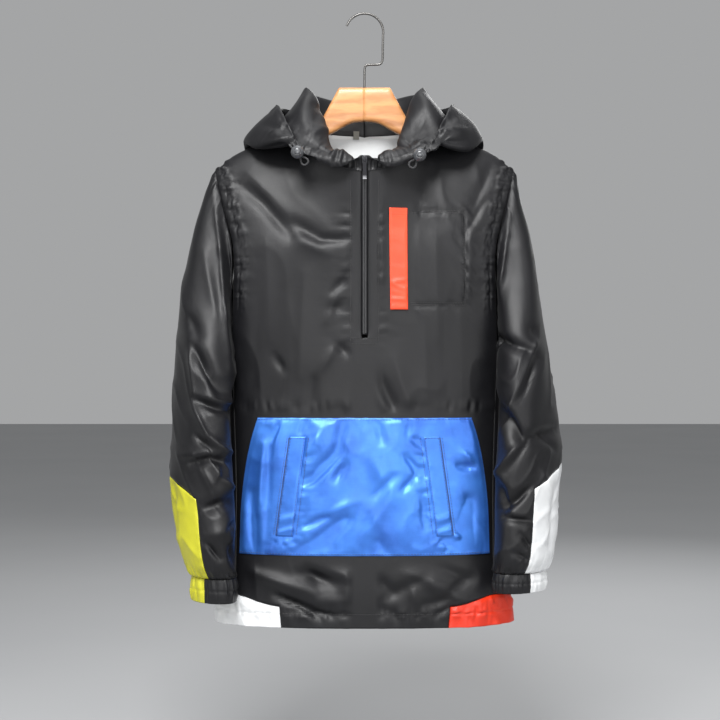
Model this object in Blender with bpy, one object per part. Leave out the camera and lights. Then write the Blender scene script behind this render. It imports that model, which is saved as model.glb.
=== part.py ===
"""A hooded half-zip windbreaker on a wooden hanger, piece by piece as it is cut and sewn.

The origin is the inside top of the hanger's hook. +X is the wearer's left, -Y the front, +Z up.
Sizes are in millimetres and become metres when a mesh is made.
"""

import math

import bmesh
import bpy
import numpy as np
from mathutils import Vector
from mathutils.bvhtree import BVHTree

MM = 0.001

# Cloth and seams
CLOTH = 1.0  # wall of every sewn piece
SEAM_GAP = 0.3  # between two pieces that are sewn together
BENT_SEAM = 0.3  # drawn in from a seam where two walls meet at an angle
LAID_GAP = 0.45  # between a panel and what is sewn onto it
OVAL = 2.4  # exponent of the body's oval

# Levels
HEM_Z = -876.0
UNDERARM_Z = -480.0
YOKE_Z = -340.0  # above this the rows bend towards the shoulder and neck
ZIP_END_Z = -466.0

# Neck and shoulders
NECK_HALF = 76.0
NECK_SIDE_Z = -167.0
NECK_FRONT = (-66.0, -235.0)  # y and z at the centre
NECK_BACK = (32.0, -172.0)
SHOULDER_TIP = (218.0, -228.0)  # x and z
ZIP_SLOT_HALF = 4.0

# Grid of the body panels: cells from the centre to one side
FRONT_CELLS = 13
BACK_CELLS = 12
NECK_CELLS = 4
INSET_CELLS = {"front": 6, "back": 6}
YOKE_ROWS = 6


class Table:
    """Rows of numbers under named columns, sorted by the first and read along a smooth curve."""

    def __init__(self, columns, rows):
        self.columns = {name: k for k, name in enumerate(columns.split())}
        self.rows = np.array(sorted(rows), float)

    def at(self, column, key):
        keys = self.rows[:, 0]
        values = self.rows[:, self.columns[column]]
        slopes = np.gradient(values, keys)
        key = min(max(key, keys[0]), keys[-1])
        k = int(min(max(np.searchsorted(keys, key) - 1, 0), len(keys) - 2))
        span = keys[k + 1] - keys[k]
        t = (key - keys[k]) / span
        start = (1 + 2 * t) * (1 - t) ** 2 * values[k] + t * (1 - t) ** 2 * span * slopes[k]
        end = t * t * (3 - 2 * t) * values[k + 1] + t * t * (t - 1) * span * slopes[k + 1]
        return float(start + end)


BODY = Table(
    "z half_width front_depth back_depth front_turn back_turn",
    [
        (-876, 213, 75, 55, 54.2, 54.2),
        (-840, 211, 75, 55, 57, 57),
        (-775, 204, 72, 54, 61, 61),
        (-700, 198, 68, 53, 65, 65),
        (-582, 196, 63, 52, 70, 70),
        (-480, 196, 60, 51, 75, 75),
        (-445, 199, 59, 51, 71, 92),
        (-410, 203, 58, 50, 67, 105),
        (-375, 206, 58, 50, 64, 113),
        (-340, 208, 58, 50, 62, 118),
    ],
)

SHOULDER = Table(
    "x z",
    [(76, -167), (110, -176), (150, -188), (180, -200), (205, -216), (218, -228)],
)

# Folds of a body panel: x0, z0, x1, z1, height and width of a ridge or trough between two places
FRONT_FOLDS = [
    (-178, -262, -72, -330, -5, 15),
    (-72, -318, -28, -338, -6, 12),
    (-150, -235, -60, -300, 5, 16),
    (-62, -430, -30, -372, -5, 11),
    (22, -440, 66, -560, -5, 12),
    (-40, -560, 20, -470, 4, 14),
    (150, -240, 128, -330, -4, 10),
    (170, -270, 150, -345, 4, 10),
    (-150, -800, -70, -822, 6, 15),
    (-60, -812, 10, -800, -5, 14),
    (60, -795, 120, -835, 6, 14),
    (20, -835, 70, -800, -4, 12),
]
BACK_FOLDS = [
    (-140, -300, -60, -420, -5, 16),
    (130, -320, 70, -430, -5, 16),
    (-90, -520, -60, -700, 6, 18),
    (70, -540, 96, -720, 6, 18),
    (-20, -600, 0, -800, -5, 16),
    (-130, -760, -60, -820, 6, 16),
    (130, -740, 50, -815, -5, 16),
]


def ease(t):
    t = min(max(t, 0.0), 1.0)
    return t * t * (3 - 2 * t)


def mix(a, b, t):
    return a + (b - a) * t


def signed_power(value, power):
    return math.copysign(abs(value) ** power, value)


def fold_height(folds, x, z):
    """The sum of the folds at (x, z): each fades across its width and towards its two ends."""
    total = 0.0
    for x0, z0, x1, z1, height, width in folds:
        length2 = (x1 - x0) ** 2 + (z1 - z0) ** 2
        along = ((x - x0) * (x1 - x0) + (z - z0) * (z1 - z0)) / length2
        clamped = min(max(along, 0.0), 1.0)
        away = math.hypot(x - mix(x0, x1, clamped), z - mix(z0, z1, clamped))
        total += height * math.exp(-((away / width) ** 2)) * (0.55 + 0.45 * math.sin(math.pi * clamped))
    return total


# The body


def oval_point(z, turn):
    """A point of the body's oval at height z: turn is 0 at the centre front and 180 at the centre back."""
    sine, cosine = math.sin(math.radians(turn)), math.cos(math.radians(turn))
    depth = BODY.at("front_depth" if cosine > 0 else "back_depth", z)
    x = BODY.at("half_width", z) * signed_power(sine, 2 / OVAL)
    y = -depth * signed_power(cosine, 2 / OVAL)
    return np.array([x, y, z])


def zip_turn(z):
    """The turn of the oval where it passes the zip slot's edge."""
    return math.degrees(math.asin((ZIP_SLOT_HALF / BODY.at("half_width", z)) ** (OVAL / 2)))


def panel_turn(part, z, share):
    """The turn at a share of the way from a panel's centre line (0) to its side edge (1)."""
    if part == "front":
        return max(share * BODY.at("front_turn", z), zip_turn(z))
    edge = BODY.at("front_turn" if z <= UNDERARM_Z else "back_turn", z)
    return 180 - share * (180 - edge)


def top_point(part, share):
    """A point of a panel's top edge, along the neck and then the shoulder."""
    neck_share = NECK_CELLS / (FRONT_CELLS if part == "front" else BACK_CELLS)
    centre_y, centre_z = NECK_FRONT if part == "front" else NECK_BACK
    if share <= neck_share:
        angle = math.pi / 2 * share / neck_share
        x = NECK_HALF * math.sin(angle)
        if part == "front":
            x = max(x, ZIP_SLOT_HALF)
        z = NECK_SIDE_Z + (centre_z - NECK_SIDE_Z) * math.cos(angle)
        return np.array([x, centre_y * math.cos(angle), z])
    low = oval_point(YOKE_Z, panel_turn(part, YOKE_Z, share))[0]
    first = oval_point(YOKE_Z, panel_turn(part, YOKE_Z, neck_share))[0]
    last = oval_point(YOKE_Z, panel_turn(part, YOKE_Z, 1))[0]
    x = mix(NECK_HALF, SHOULDER_TIP[0], (low - first) / (last - first))
    return np.array([x, 0.0, SHOULDER.at("z", x)])


def yoke_point(part, share, rise):
    """A point between the yoke level (rise 0) and the panel's top edge (rise 1)."""
    low = oval_point(YOKE_Z, panel_turn(part, YOKE_Z, share))
    top = top_point(part, share)
    lift = 1 - (1 - rise) ** 2
    neck_share = NECK_CELLS / (FRONT_CELLS if part == "front" else BACK_CELLS)
    closing = mix(1.0, 0.5, ease(share / neck_share))
    y = top[1] + (low[1] - top[1]) * (1 - lift) ** closing
    return np.array([mix(low[0], top[0], lift), y, mix(low[2], top[2], lift)])


def inset_height(share):
    """How high a hem inset reaches above the hem: its top edge peaks at the side seam."""
    return mix(29.0, 43.0, ease((share - 0.5) / 0.5))


def body_rows():
    """The rows of both body panels from the hem up: a level, or a rise above the yoke level."""
    rows = [("level", HEM_Z), ("inset", None)]
    rows += [("level", z) for z in np.linspace(-812, UNDERARM_Z, 10)]
    rows += [("level", z) for z in (ZIP_END_Z, -424, -382, YOKE_Z)]
    rows += [("rise", k / YOKE_ROWS) for k in range(1, YOKE_ROWS + 1)]
    return rows


ZIP_END_ROW = 12
UNDERARM_ROW = 11


def body_point(part, row, share):
    """A body panel's point on its smooth form, on the side of +X."""
    kind, value = row
    if kind == "rise":
        return yoke_point(part, share, value)
    z = HEM_Z + inset_height(share) if kind == "inset" else value
    return oval_point(z, panel_turn(part, z, share))


def under_pocket(x, z):
    """1 where the kangaroo panel or the chest strip lies on the front, fading out around them."""
    pocket = ease((-560 - z) / 25) * ease((z + 800) / 25)
    strip = ease((x - 22) / 12) * ease((78 - x) / 12) * ease((-268 - z) / 20) * ease((z + 455) / 20)
    return max(pocket, strip)


def shares(part):
    cells = FRONT_CELLS if part == "front" else BACK_CELLS
    return [k / cells for k in range(cells + 1)]


def moved_out(grid, distance):
    """A grid's points moved along its own normals, out from the cloth."""
    across = np.gradient(grid, axis=1)
    up = np.gradient(grid, axis=0)
    normals = np.cross(across, up)
    normals /= np.linalg.norm(normals, axis=2, keepdims=True)
    return grid + normals * distance


def body_grid(part):
    """The panel's points, row by row from one side edge across to the other."""
    half = shares(part)
    if part == "front":
        order = [(-1, s) for s in reversed(half)] + [(1, s) for s in half]
    else:
        order = [(1, s) for s in reversed(half)] + [(-1, s) for s in half[1:]]
    grid = []
    for row in body_rows():
        line = []
        for side, share in order:
            x, y, z = body_point(part, row, share)
            folds = FRONT_FOLDS if part == "front" else BACK_FOLDS
            calm = (1 - under_pocket(side * x, z)) * ease((x - 22) / 14) if part == "front" else 1.0
            fade = ease((1 - share) / 0.2) * ease((-200 - z) / 60) * ease((z - HEM_Z - 8) / 30)
            out = fold_height(folds, side * x, z) * calm * fade
            line.append((side * x, y + (-out if part == "front" else out), z))
        grid.append(line)
    return np.array(grid)


# Making objects


def material(name, colour, roughness, metallic=0.0):
    found = bpy.data.materials.get(name)
    if found:
        return found
    made = bpy.data.materials.new(name)
    made.use_nodes = True
    shader = made.node_tree.nodes["Principled BSDF"]
    shader.inputs["Base Color"].default_value = (*colour, 1)
    shader.inputs["Roughness"].default_value = roughness
    shader.inputs["Metallic"].default_value = metallic
    return made


def black_cloth():
    return material("black_cloth", (0.02, 0.02, 0.024), 0.45)


def white_cloth():
    return material("white_cloth", (0.8, 0.8, 0.8), 0.5)


def blue_cloth():
    return material("blue_cloth", (0.05, 0.2, 0.75), 0.45)


def orange_cloth():
    return material("orange_cloth", (0.9, 0.12, 0.03), 0.5)


def yellow_cloth():
    return material("yellow_cloth", (0.75, 0.75, 0.12), 0.5)


def black_plastic():
    return material("black_plastic", (0.015, 0.015, 0.017), 0.25)


def black_metal():
    return material("black_metal", (0.05, 0.05, 0.055), 0.3, 1.0)


def steel():
    return material("steel", (0.6, 0.6, 0.62), 0.25, 1.0)


def wood():
    return material("wood", (0.6, 0.35, 0.17), 0.5)


def add_object(name, mesh, finish):
    made = bpy.data.objects.new(name, mesh)
    mesh.materials.append(finish)
    bpy.context.scene.collection.objects.link(made)
    return made


def trim_edges(sheet, width):
    """Draws the sheet's open edges in by a width, so that sewn neighbours stay just apart."""
    inward = {}
    for edge in sheet.edges:
        if len(edge.link_faces) != 1:
            continue
        along = (edge.verts[1].co - edge.verts[0].co).normalized()
        middle = (edge.verts[0].co + edge.verts[1].co) / 2
        to_face = edge.link_faces[0].calc_center_median() - middle
        direction = (to_face - along * to_face.dot(along)).normalized()
        for vertex in edge.verts:
            inward.setdefault(vertex, []).append(direction)
    for vertex, directions in inward.items():
        total = sum(directions, Vector())
        spread = 1 + directions[0].dot(directions[-1]) if len(directions) > 1 else 1
        vertex.co += total * (width / max(spread, 0.4))


def cloth(name, grid, finish, around=False, keep=None, trim=SEAM_GAP / 2, wall=CLOTH):
    """One sewn piece: a wall of cloth on a grid of points, less the cells that keep leaves out."""
    rows, columns = len(grid), len(grid[0])
    sheet = bmesh.new()
    points = {}

    def point(row, column):
        key = (row, column % columns)
        if key not in points:
            points[key] = sheet.verts.new(Vector(grid[key[0]][key[1]]))
        return points[key]

    for row in range(rows - 1):
        for column in range(columns if around else columns - 1):
            if keep and not keep(row, column):
                continue
            corners = [(row, column), (row, column + 1), (row + 1, column + 1), (row + 1, column)]
            sheet.faces.new([point(*corner) for corner in corners])
    trim_edges(sheet, trim)
    bmesh.ops.scale(sheet, vec=(MM, MM, MM), verts=sheet.verts)
    mesh = bpy.data.meshes.new(name)
    sheet.to_mesh(mesh)
    sheet.free()
    mesh.shade_smooth()
    piece = add_object(name, mesh, finish)
    solidify = piece.modifiers.new("wall", "SOLIDIFY")
    solidify.thickness = wall * MM
    solidify.offset = 0.0
    return piece


def rounded_solid(name, rings, finish):
    """A closed solid skinned over rings of points, with a flat face at each end."""
    body = bmesh.new()
    loops = [[body.verts.new(Vector(p) * MM) for p in ring] for ring in rings]
    count = len(rings[0])
    for near, far in zip(loops, loops[1:]):
        for k in range(count):
            body.faces.new([near[k], near[(k + 1) % count], far[(k + 1) % count], far[k]])
    body.faces.new(list(reversed(loops[0])))
    body.faces.new(loops[-1])
    bmesh.ops.recalc_face_normals(body, faces=body.faces)
    mesh = bpy.data.meshes.new(name)
    body.to_mesh(mesh)
    body.free()
    mesh.shade_smooth()
    return add_object(name, mesh, finish)


def tube(name, points, diameter, finish, resolution=2):
    curve = bpy.data.curves.new(name, "CURVE")
    curve.dimensions = "3D"
    curve.bevel_depth = diameter / 2 * MM
    curve.bevel_resolution = resolution
    curve.use_fill_caps = True
    spline = curve.splines.new("POLY")
    spline.points.add(len(points) - 1)
    for spot, place in zip(spline.points, points):
        spot.co = (*(np.array(place) * MM), 1)
    return add_object(name, curve, finish)


def smooth_route(stops, steps):
    """Points along a Catmull-Rom curve through the stops."""
    stops = np.array(stops, float)
    ends = np.vstack([2 * stops[0] - stops[1], stops, 2 * stops[-1] - stops[-2]])
    route = []
    for a, b, c, d in zip(ends, ends[1:], ends[2:], ends[3:]):
        for t in np.arange(steps) / steps:
            curve = 2 * b + (c - a) * t + (2 * a - 5 * b + 4 * c - d) * t**2
            route.append((curve + (3 * b - a - 3 * c + d) * t**3) / 2)
    route.append(stops[-1])
    return route


# Body panels and hem insets


def in_inset(part, row, column):
    """Whether a cell of a body panel belongs to a hem inset."""
    cells = FRONT_CELLS if part == "front" else BACK_CELLS
    total = 2 * cells + (1 if part == "front" else 0)
    from_side = min(column, total - 1 - column)
    return row == 0 and from_side < INSET_CELLS[part]


def make_body():
    front, back = body_grid("front"), body_grid("back")
    slot = FRONT_CELLS

    def keep_front(row, column):
        if column == slot and row >= ZIP_END_ROW:
            return False
        return not in_inset("front", row, column)

    def keep_back(row, column):
        return not in_inset("back", row, column)

    cloth("front_panel", front, black_cloth(), keep=keep_front, trim=BENT_SEAM)
    cloth("back_panel", back, black_cloth(), keep=keep_back, trim=BENT_SEAM)
    inset_sides = {
        "hem_inset_right": (-1, white_cloth()),
        "hem_inset_left": (1, orange_cloth()),
    }
    for name, (side, finish) in inset_sides.items():
        rows = []
        for row in (0, 1):
            front_part = front[row] if side > 0 else front[row][::-1]
            back_part = back[row] if side > 0 else back[row][::-1]
            line = list(front_part[-1 - INSET_CELLS["front"] :])
            line += list(back_part[1 : INSET_CELLS["back"] + 1])
            rows.append(line if side > 0 else line[::-1])
        cloth(name, rows, finish)
    return front, back


# Sleeves

SLEEVE_COLUMNS = "z outer inner middle_y half_depth lean"
SLEEVES = {
    "left": Table(
        SLEEVE_COLUMNS,
        [
            (-228, 218, 208, 0, 14, 0),
            (-271, 225, 204, -2, 30, 4),
            (-328, 239, 200, -4, 44, 8),
            (-386, 249, 194, -6, 52, 13),
            (-443, 259, 192, -15, 57, 26),
            (-500, 268, 190, -24, 60, 33),
            (-558, 275, 188, -32, 60, 35),
            (-616, 281, 185, -39, 58, 34),
            (-659, 281, 182, -45, 56, 32),
            (-703, 277, 181, -48, 54, 27),
            (-754, 271, 180, -57, 48, 24),
            (-780, 266, 179, -61, 42, 20),
            (-796, 257, 178, -62, 33, 15),
        ],
    ),
    "right": Table(
        SLEEVE_COLUMNS,
        [
            (-228, 218, 208, 0, 14, 0),
            (-271, 234, 206, -2, 30, 4),
            (-328, 250, 204, -4, 44, 8),
            (-386, 261, 200, -6, 52, 13),
            (-443, 269, 194, -15, 57, 26),
            (-500, 273, 192, -24, 60, 33),
            (-558, 276, 189, -32, 60, 35),
            (-616, 278, 186, -39, 58, 34),
            (-665, 278, 183, -45, 56, 32),
            (-720, 270, 180, -50, 54, 27),
            (-771, 259, 180, -59, 47, 23),
            (-792, 252, 179, -62, 40, 18),
            (-803, 246, 178, -63, 33, 14),
        ],
    ),
}
CUFF_TOP = {"left": -796.0, "right": -803.0}
CUFF_BOTTOM = {"left": -824.0, "right": -838.0}
INSET_OUTER_Z = {"left": -648.0, "right": -664.0}
SLEEVE_UPPER_ROWS, SLEEVE_LOWER_ROWS = 11, 5
INSET_COLUMNS = (-2, 4)  # of the sleeve's columns, the outermost one being 0
CUFF_WAVES, CUFF_STEPS, CUFF_ROWS = 16, 3, 3
CUFF_WAVE, CUFF_BULGE, CUFF_DRAWN_IN = 1.6, 2.0, 1.5
CUFF_INSET_STEPS = (-5, 7)  # of the cuff's columns, the outermost one being 0

# Folds of a sleeve: angle0, z0, angle1, z1, height and width; angle 0 is outermost, 90 the front
SLEEVE_FOLDS = {
    "left": [
        (150, -500, 60, -555, 9, 14),
        (150, -545, 70, -500, -7, 12),
        (100, -420, 130, -520, 7, 12),
        (160, -600, 75, -575, -6, 12),
        (70, -590, 20, -640, 6, 14),
        (150, -650, 95, -612, 7, 11),
        (120, -690, 95, -740, 5, 12),
        (230, -520, 290, -575, 8, 15),
        (310, -470, 250, -440, -6, 14),
        (220, -640, 300, -660, 7, 14),
        (290, -700, 230, -735, -5, 12),
    ],
    "right": [
        (60, -480, 110, -600, 8, 12),
        (85, -470, 135, -585, -7, 11),
        (35, -600, 120, -640, 7, 13),
        (110, -660, 60, -625, -6, 11),
        (150, -640, 110, -700, 7, 12),
        (140, -720, 100, -745, 6, 12),
        (110, -380, 95, -470, 5, 12),
        (240, -510, 300, -580, 8, 15),
        (300, -450, 250, -420, -6, 14),
        (230, -650, 300, -640, 7, 14),
        (290, -720, 235, -750, -5, 12),
    ],
}
ARMHOLE_STEP = 1.6  # how far the sleeve's edge stands off the body at the armhole
DEGREE = 1.05  # millimetres of sleeve for each degree round it


def armhole_loop(front, back):
    """The armhole on the side of +X from the shoulder tip down the front edge and up the back edge."""
    front_edge = [line[-1] for line in front[UNDERARM_ROW:]]
    back_edge = [line[0] for line in back[UNDERARM_ROW:]]
    return np.array(front_edge[::-1] + back_edge[1:-1])


def sleeve_section(table, z, angle):
    outer, inner = table.at("outer", z), table.at("inner", z)
    sine, cosine = math.sin(math.radians(angle)), math.cos(math.radians(angle))
    x = (outer + inner) / 2 + (outer - inner) / 2 * cosine
    y = table.at("middle_y", z) - table.at("half_depth", z) * sine + table.at("lean", z) * cosine
    return np.array([x, y, z])


def sleeve_grid(side, loop):
    """The sleeve on +X: rings that start as the armhole and turn level towards the wrist."""
    table, end = SLEEVES[side], CUFF_TOP[side]
    folds = [
        (a0 * DEGREE, z0, a1 * DEGREE, z1, height, width)
        for a0, z0, a1, z1, height, width in SLEEVE_FOLDS[side]
    ]
    count = len(loop)
    top, bottom = loop[0][2], loop[count // 2][2]
    first = (INSET_OUTER_Z[side] - top) / (end - top)
    steps = list(np.linspace(0, first, SLEEVE_UPPER_ROWS + 1))
    steps += list(np.linspace(first, 1, SLEEVE_LOWER_ROWS + 1))[1:]
    grid = []
    for step in steps:
        outer_z, inner_z = mix(top, end, step), mix(bottom, end, step)
        line = []
        for k, seam in enumerate(loop):
            cosine = (seam[2] - (top + bottom) / 2) / ((top - bottom) / 2)
            seam_angle = math.degrees(math.acos(min(max(cosine, -1), 1)))
            if k > count // 2:
                seam_angle = 360 - seam_angle
            angle = mix(seam_angle, 360 * k / count, ease(step / 0.25))
            cosine = math.cos(math.radians(angle))
            z = mix(inner_z, outer_z, (1 + cosine) / 2)
            place = sleeve_section(table, z, angle)
            drawn = seam - sleeve_section(table, seam[2], seam_angle)
            place = place + drawn * (1 - ease(step / 0.3))
            place[0] += mix(0.5, ARMHOLE_STEP, ease((1 - cosine) / 0.6))
            calm = ease((step - 0.12) / 0.2) * ease((1 - step) / 0.06)
            away = np.array([math.cos(math.radians(angle)), -math.sin(math.radians(angle)), 0])
            near_body = ease((abs(angle - 200) - 25) / 40)
            line.append(place + away * fold_height(folds, angle * DEGREE, z) * calm * near_body)
        grid.append(line)
    return np.array(grid)


def cuff_grid(side):
    table, count = SLEEVES[side], CUFF_WAVES * CUFF_STEPS
    top, bottom = CUFF_TOP[side], CUFF_BOTTOM[side]
    grid = []
    for row in range(CUFF_ROWS + 1):
        share = row / CUFF_ROWS
        z = mix(top, bottom, share) - (SEAM_GAP if row == 0 else 0)
        line = []
        for k in range(count):
            angle = 360 * k / count
            turn = math.radians(angle)
            wave = CUFF_WAVE * math.cos(turn * CUFF_WAVES) * math.sin(math.pi * (0.15 + 0.7 * share))
            out = wave + CUFF_BULGE * math.sin(math.pi * share) - CUFF_DRAWN_IN
            x, y, _ = sleeve_section(table, top, angle)
            line.append((x + out * math.cos(turn), y - out * math.sin(turn), z))
        grid.append(line)
    return np.array(grid)


def outward(side, grid):
    """A grid of +X for its own side, with its columns in the order that makes the faces point out."""
    if side == "left":
        return grid[:, ::-1]
    return grid * (-1, 1, 1)


def make_sleeve(side, finish, loop):
    grid, cuff = sleeve_grid(side, loop), cuff_grid(side)

    def counted(column, total):
        """The column as the grids on +X count it, before their order was turned round."""
        return (total - 2 - column) % total if side == "left" else column

    def in_sleeve_inset(row, column):
        total = len(grid[0])
        first, last = INSET_COLUMNS
        return row >= SLEEVE_UPPER_ROWS and (counted(column, total) - first) % total < last - first

    def in_cuff_inset(row, column):
        total = len(cuff[0])
        first, last = CUFF_INSET_STEPS
        return (counted(column, total) - first) % total < last - first

    def outside(test):
        return lambda row, column: not test(row, column)

    black = black_cloth()
    sleeve_points, cuff_points = outward(side, grid), outward(side, cuff)
    cloth(f"sleeve_{side}", sleeve_points, black, around=True, keep=outside(in_sleeve_inset))
    cloth(f"sleeve_inset_{side}", sleeve_points, finish, around=True, keep=in_sleeve_inset)
    cloth(f"cuff_{side}", cuff_points, black, around=True, keep=outside(in_cuff_inset))
    cloth(f"cuff_inset_{side}", cuff_points, finish, around=True, keep=in_cuff_inset)


# Pieces sewn onto the front

POCKET_TOP_Z, POCKET_BOTTOM_Z = -582.0, -775.0
POCKET_EDGE = Table("drop turn", [(0, 47), (0.15, 51.5), (0.35, 56), (0.6, 59), (1, 57.5)])
POCKET_COLUMNS, POCKET_ROWS = 18, 7
POCKET_BULGE = 3.0
LAYER = CLOTH + LAID_GAP

PIECES_ON_FRONT = Table(
    "number top_in top_out top_z bottom_in bottom_out bottom_z layer",
    [
        (0, 82, 105, -608, 100, 124, -748, 2),
        (1, 34, 60, -286, 36, 61, -430, 1.2),
    ],
)
WELT, STRIP = 0, 1


def front_place(share, z):
    """The front's smooth form at a height, a share of the way from the centre to the side edge."""
    if z <= YOKE_Z:
        return oval_point(z, share * BODY.at("front_turn", z))
    lift = min((z - YOKE_Z) / (top_point("front", share)[2] - YOKE_Z), 1.0)
    return yoke_point("front", share, 1 - math.sqrt(1 - lift))


def front_y(x, z):
    low, high = 0.0, 1.0
    for _ in range(24):
        share = (low + high) / 2
        if front_place(share, z)[0] < abs(x):
            low = share
        else:
            high = share
    return front_place(share, z)[1]


def pocket_bulge(x, z):
    drop = (POCKET_TOP_Z - z) / (POCKET_TOP_Z - POCKET_BOTTOM_Z)
    if not 0 < drop < 1:
        return 0.0
    return POCKET_BULGE * math.sin(math.pi * drop) * max(0.0, 1 - (x / 172) ** 2)


def on_front(x, z, layer):
    """A point that lies a number of layers out from the front's smooth form."""
    step = 2.0
    slope = (front_y(x + step, z) - front_y(x - step, z)) / (2 * step)
    out = layer * LAYER + (pocket_bulge(x, z) if layer > 0 else 0)
    length = math.hypot(slope, 1)
    return (x + slope / length * out, front_y(x, z) - out / length, z)


def make_pocket():
    rows = []
    for row in range(POCKET_ROWS + 1):
        drop = row / POCKET_ROWS
        z = mix(POCKET_TOP_Z, POCKET_BOTTOM_Z, drop)
        edge = POCKET_EDGE.at("turn", drop)
        line = []
        for column in range(POCKET_COLUMNS + 1):
            turn = mix(-edge, edge, column / POCKET_COLUMNS)
            line.append(on_front(oval_point(z, turn)[0], z, 1))
        rows.append(line)
    cloth("pocket_panel", rows[::-1], blue_cloth())


def make_flat_piece(name, number, side, finish, rows=7):
    """A narrow strip on the front, from its inner to its outer edge and from its top to its bottom."""
    read = PIECES_ON_FRONT.at
    grid = []
    for row in range(rows + 1):
        drop = row / rows
        z = mix(read("top_z", number), read("bottom_z", number), drop)
        near = mix(read("top_in", number), read("bottom_in", number), drop)
        far = mix(read("top_out", number), read("bottom_out", number), drop)
        line = [on_front(side * mix(near, far, k / 2), z, read("layer", number)) for k in range(3)]
        grid.append(line if side > 0 else line[::-1])
    cloth(name, grid[::-1], finish)


# Neck lining

LINING_ROWS, LINING_CELLS = 4, 3
LINING_OFFSET = -1.15 * LAYER  # inside the back panel


def make_neck_lining(back):
    columns = slice(BACK_CELLS - LINING_CELLS, BACK_CELLS + LINING_CELLS + 1)
    rows = moved_out(back[-LINING_ROWS - 1 :, columns], LINING_OFFSET)
    rows[-1] = mix(rows[-2], rows[-1], 0.75)
    cloth("neck_lining", rows, white_cloth())


# Hood

HOOD = Table(
    "share"
    " stand_x stand_y stand_z roll_x roll_y roll_z fall_x fall_y fall_z"
    " turn_x turn_y turn_z outer_x outer_y outer_z edge_x edge_y edge_z",
    [
        (0.00, 4, -67, -230, 4, -68, -226, 4, -69, -222, 4, -70, -219, 4, -71, -216, 4, -71, -213),
        (0.12, 28, -63, -220, 29, -67, -208, 31, -73, -209, 33, -78, -216, 34, -80, -221, 32, -78, -225),
        (0.25, 50, -50, -206, 46, -57, -199, 54, -68, -203, 62, -78, -212, 65, -81, -218, 64, -78, -222),
        (0.36, 65, -32, -180, 62, -26, -150, 74, -50, -170, 89, -72, -200, 96, -79, -208, 92, -78, -199),
        (0.45, 73, -12, -152, 72, -8, -117, 89, -32, -145, 118, -62, -203, 122, -70, -188, 108, -62, -168),
        (0.54, 80, 2, -142, 84, 5, -104, 102, -6, -148, 150, -40, -203, 145, -48, -176, 122, -30, -138),
        (0.63, 78, 18, -142, 84, 26, -110, 106, 26, -152, 170, 4, -190, 162, -8, -168, 128, 4, -132),
        (0.75, 62, 34, -144, 66, 46, -112, 88, 62, -165, 138, 76, -305, 142, 98, -230, 108, 66, -126),
        (0.88, 34, 44, -147, 36, 56, -116, 46, 76, -180, 78, 98, -352, 84, 126, -275, 60, 98, -119),
        (1.00, 0.2, 46, -149, 0.2, 58, -118, 0.2, 78, -185, 0.2, 104, -364, 0.2, 132, -290, 0.2, 105, -116),
    ],
)
HOOD_GUIDES = ("stand", "roll", "fall", "turn", "outer", "edge")
HOOD_STATIONS, HOOD_STEPS = 24, 2
HOOD_STEP = 1.6  # how far the hood's seam stands in from the neck edge at the sides
GATHERS = {"count": 5, "height": 2.4, "until": 0.25}


def neck_seam(share):
    """The hood's seam on the neck edge from the zip (0) to the centre back (1), on +X."""
    corners = [top_point("front", k / FRONT_CELLS) for k in range(NECK_CELLS + 1)]
    corners += [top_point("back", k / BACK_CELLS) for k in reversed(range(NECK_CELLS))]
    corners = np.array(corners)
    at = np.linspace(0, 1, len(corners))
    x, y, z = (np.interp(share, at, corners[:, axis]) for axis in range(3))
    return np.array([x - HOOD_STEP * math.sin(math.pi * share), y, z])


def hood_section(share):
    """Points of one section of the hood, from the neck seam over the roll to the drawcord edge."""
    seam = neck_seam(share)
    seam[2] += SEAM_GAP + 0.2
    seam[0] = max(seam[0], 0.2)
    stops = [seam]
    for guide in HOOD_GUIDES:
        stops.append(np.array([HOOD.at(f"{guide}_{axis}", share) for axis in "xyz"]))
    stops = np.array(stops)
    tangents = np.gradient(stops, axis=0)
    turn = 1 + HOOD_GUIDES.index("turn")
    tangents[turn, 2] *= 1 - ease(share / 0.3)
    line = []
    for k in range(len(stops) - 1):
        for t in np.arange(HOOD_STEPS) / HOOD_STEPS:
            start = (1 + 2 * t) * (1 - t) ** 2 * stops[k] + t * (1 - t) ** 2 * tangents[k]
            end = t * t * (3 - 2 * t) * stops[k + 1] + t * t * (t - 1) * tangents[k + 1]
            line.append(start + end)
    line.append(stops[-1])
    return np.array(line)


def hood_grid():
    grid = []
    for station in range(HOOD_STATIONS + 1):
        share = station / HOOD_STATIONS
        line = hood_section(share)
        if 0 < share < GATHERS["until"]:
            along = share / GATHERS["until"]
            wave = (1 - math.cos(2 * math.pi * GATHERS["count"] * along)) / 2
            line[3:, 1] -= GATHERS["height"] * wave * (1 - along)
        grid.append(line)
    return np.array(grid)


def make_hood():
    grid = hood_grid()
    cloth("hood_left", grid, black_cloth())
    other = grid.copy()
    other[:, :, 0] *= -1
    cloth("hood_right", other[:, ::-1], black_cloth())


# Zip

ZIP_TOP_Z = -214.0
TAPE = {"half_width": 12.0, "coil_half": 2.7, "step": 0.6, "wall": 0.8, "rows": 9, "neck_z": -240.0}
SLIDER = {"width": 7.6, "height": 12.0, "depth": 3.0, "centre_z": -220.5, "back_y": -71.9}
BRIDGE = {"half_width": 1.2, "half_height": 3.6, "bar": 1.2, "gap": 2.0}
TAB = {"half_width": 2.7, "arm": 1.0, "wall": 1.1, "hole": 5.0, "length": 28.0}
AXIS_Y = SLIDER["back_y"] - SLIDER["depth"] - BRIDGE["gap"] / 2


def zip_y(z):
    """The cloth's middle surface beside the zip, up the front and on along the hood's edge."""
    if z > NECK_FRONT[1]:
        return mix(NECK_FRONT[0], -71.0, (z - NECK_FRONT[1]) / (ZIP_TOP_Z - NECK_FRONT[1]))
    return front_y(ZIP_SLOT_HALF, z)


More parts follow.
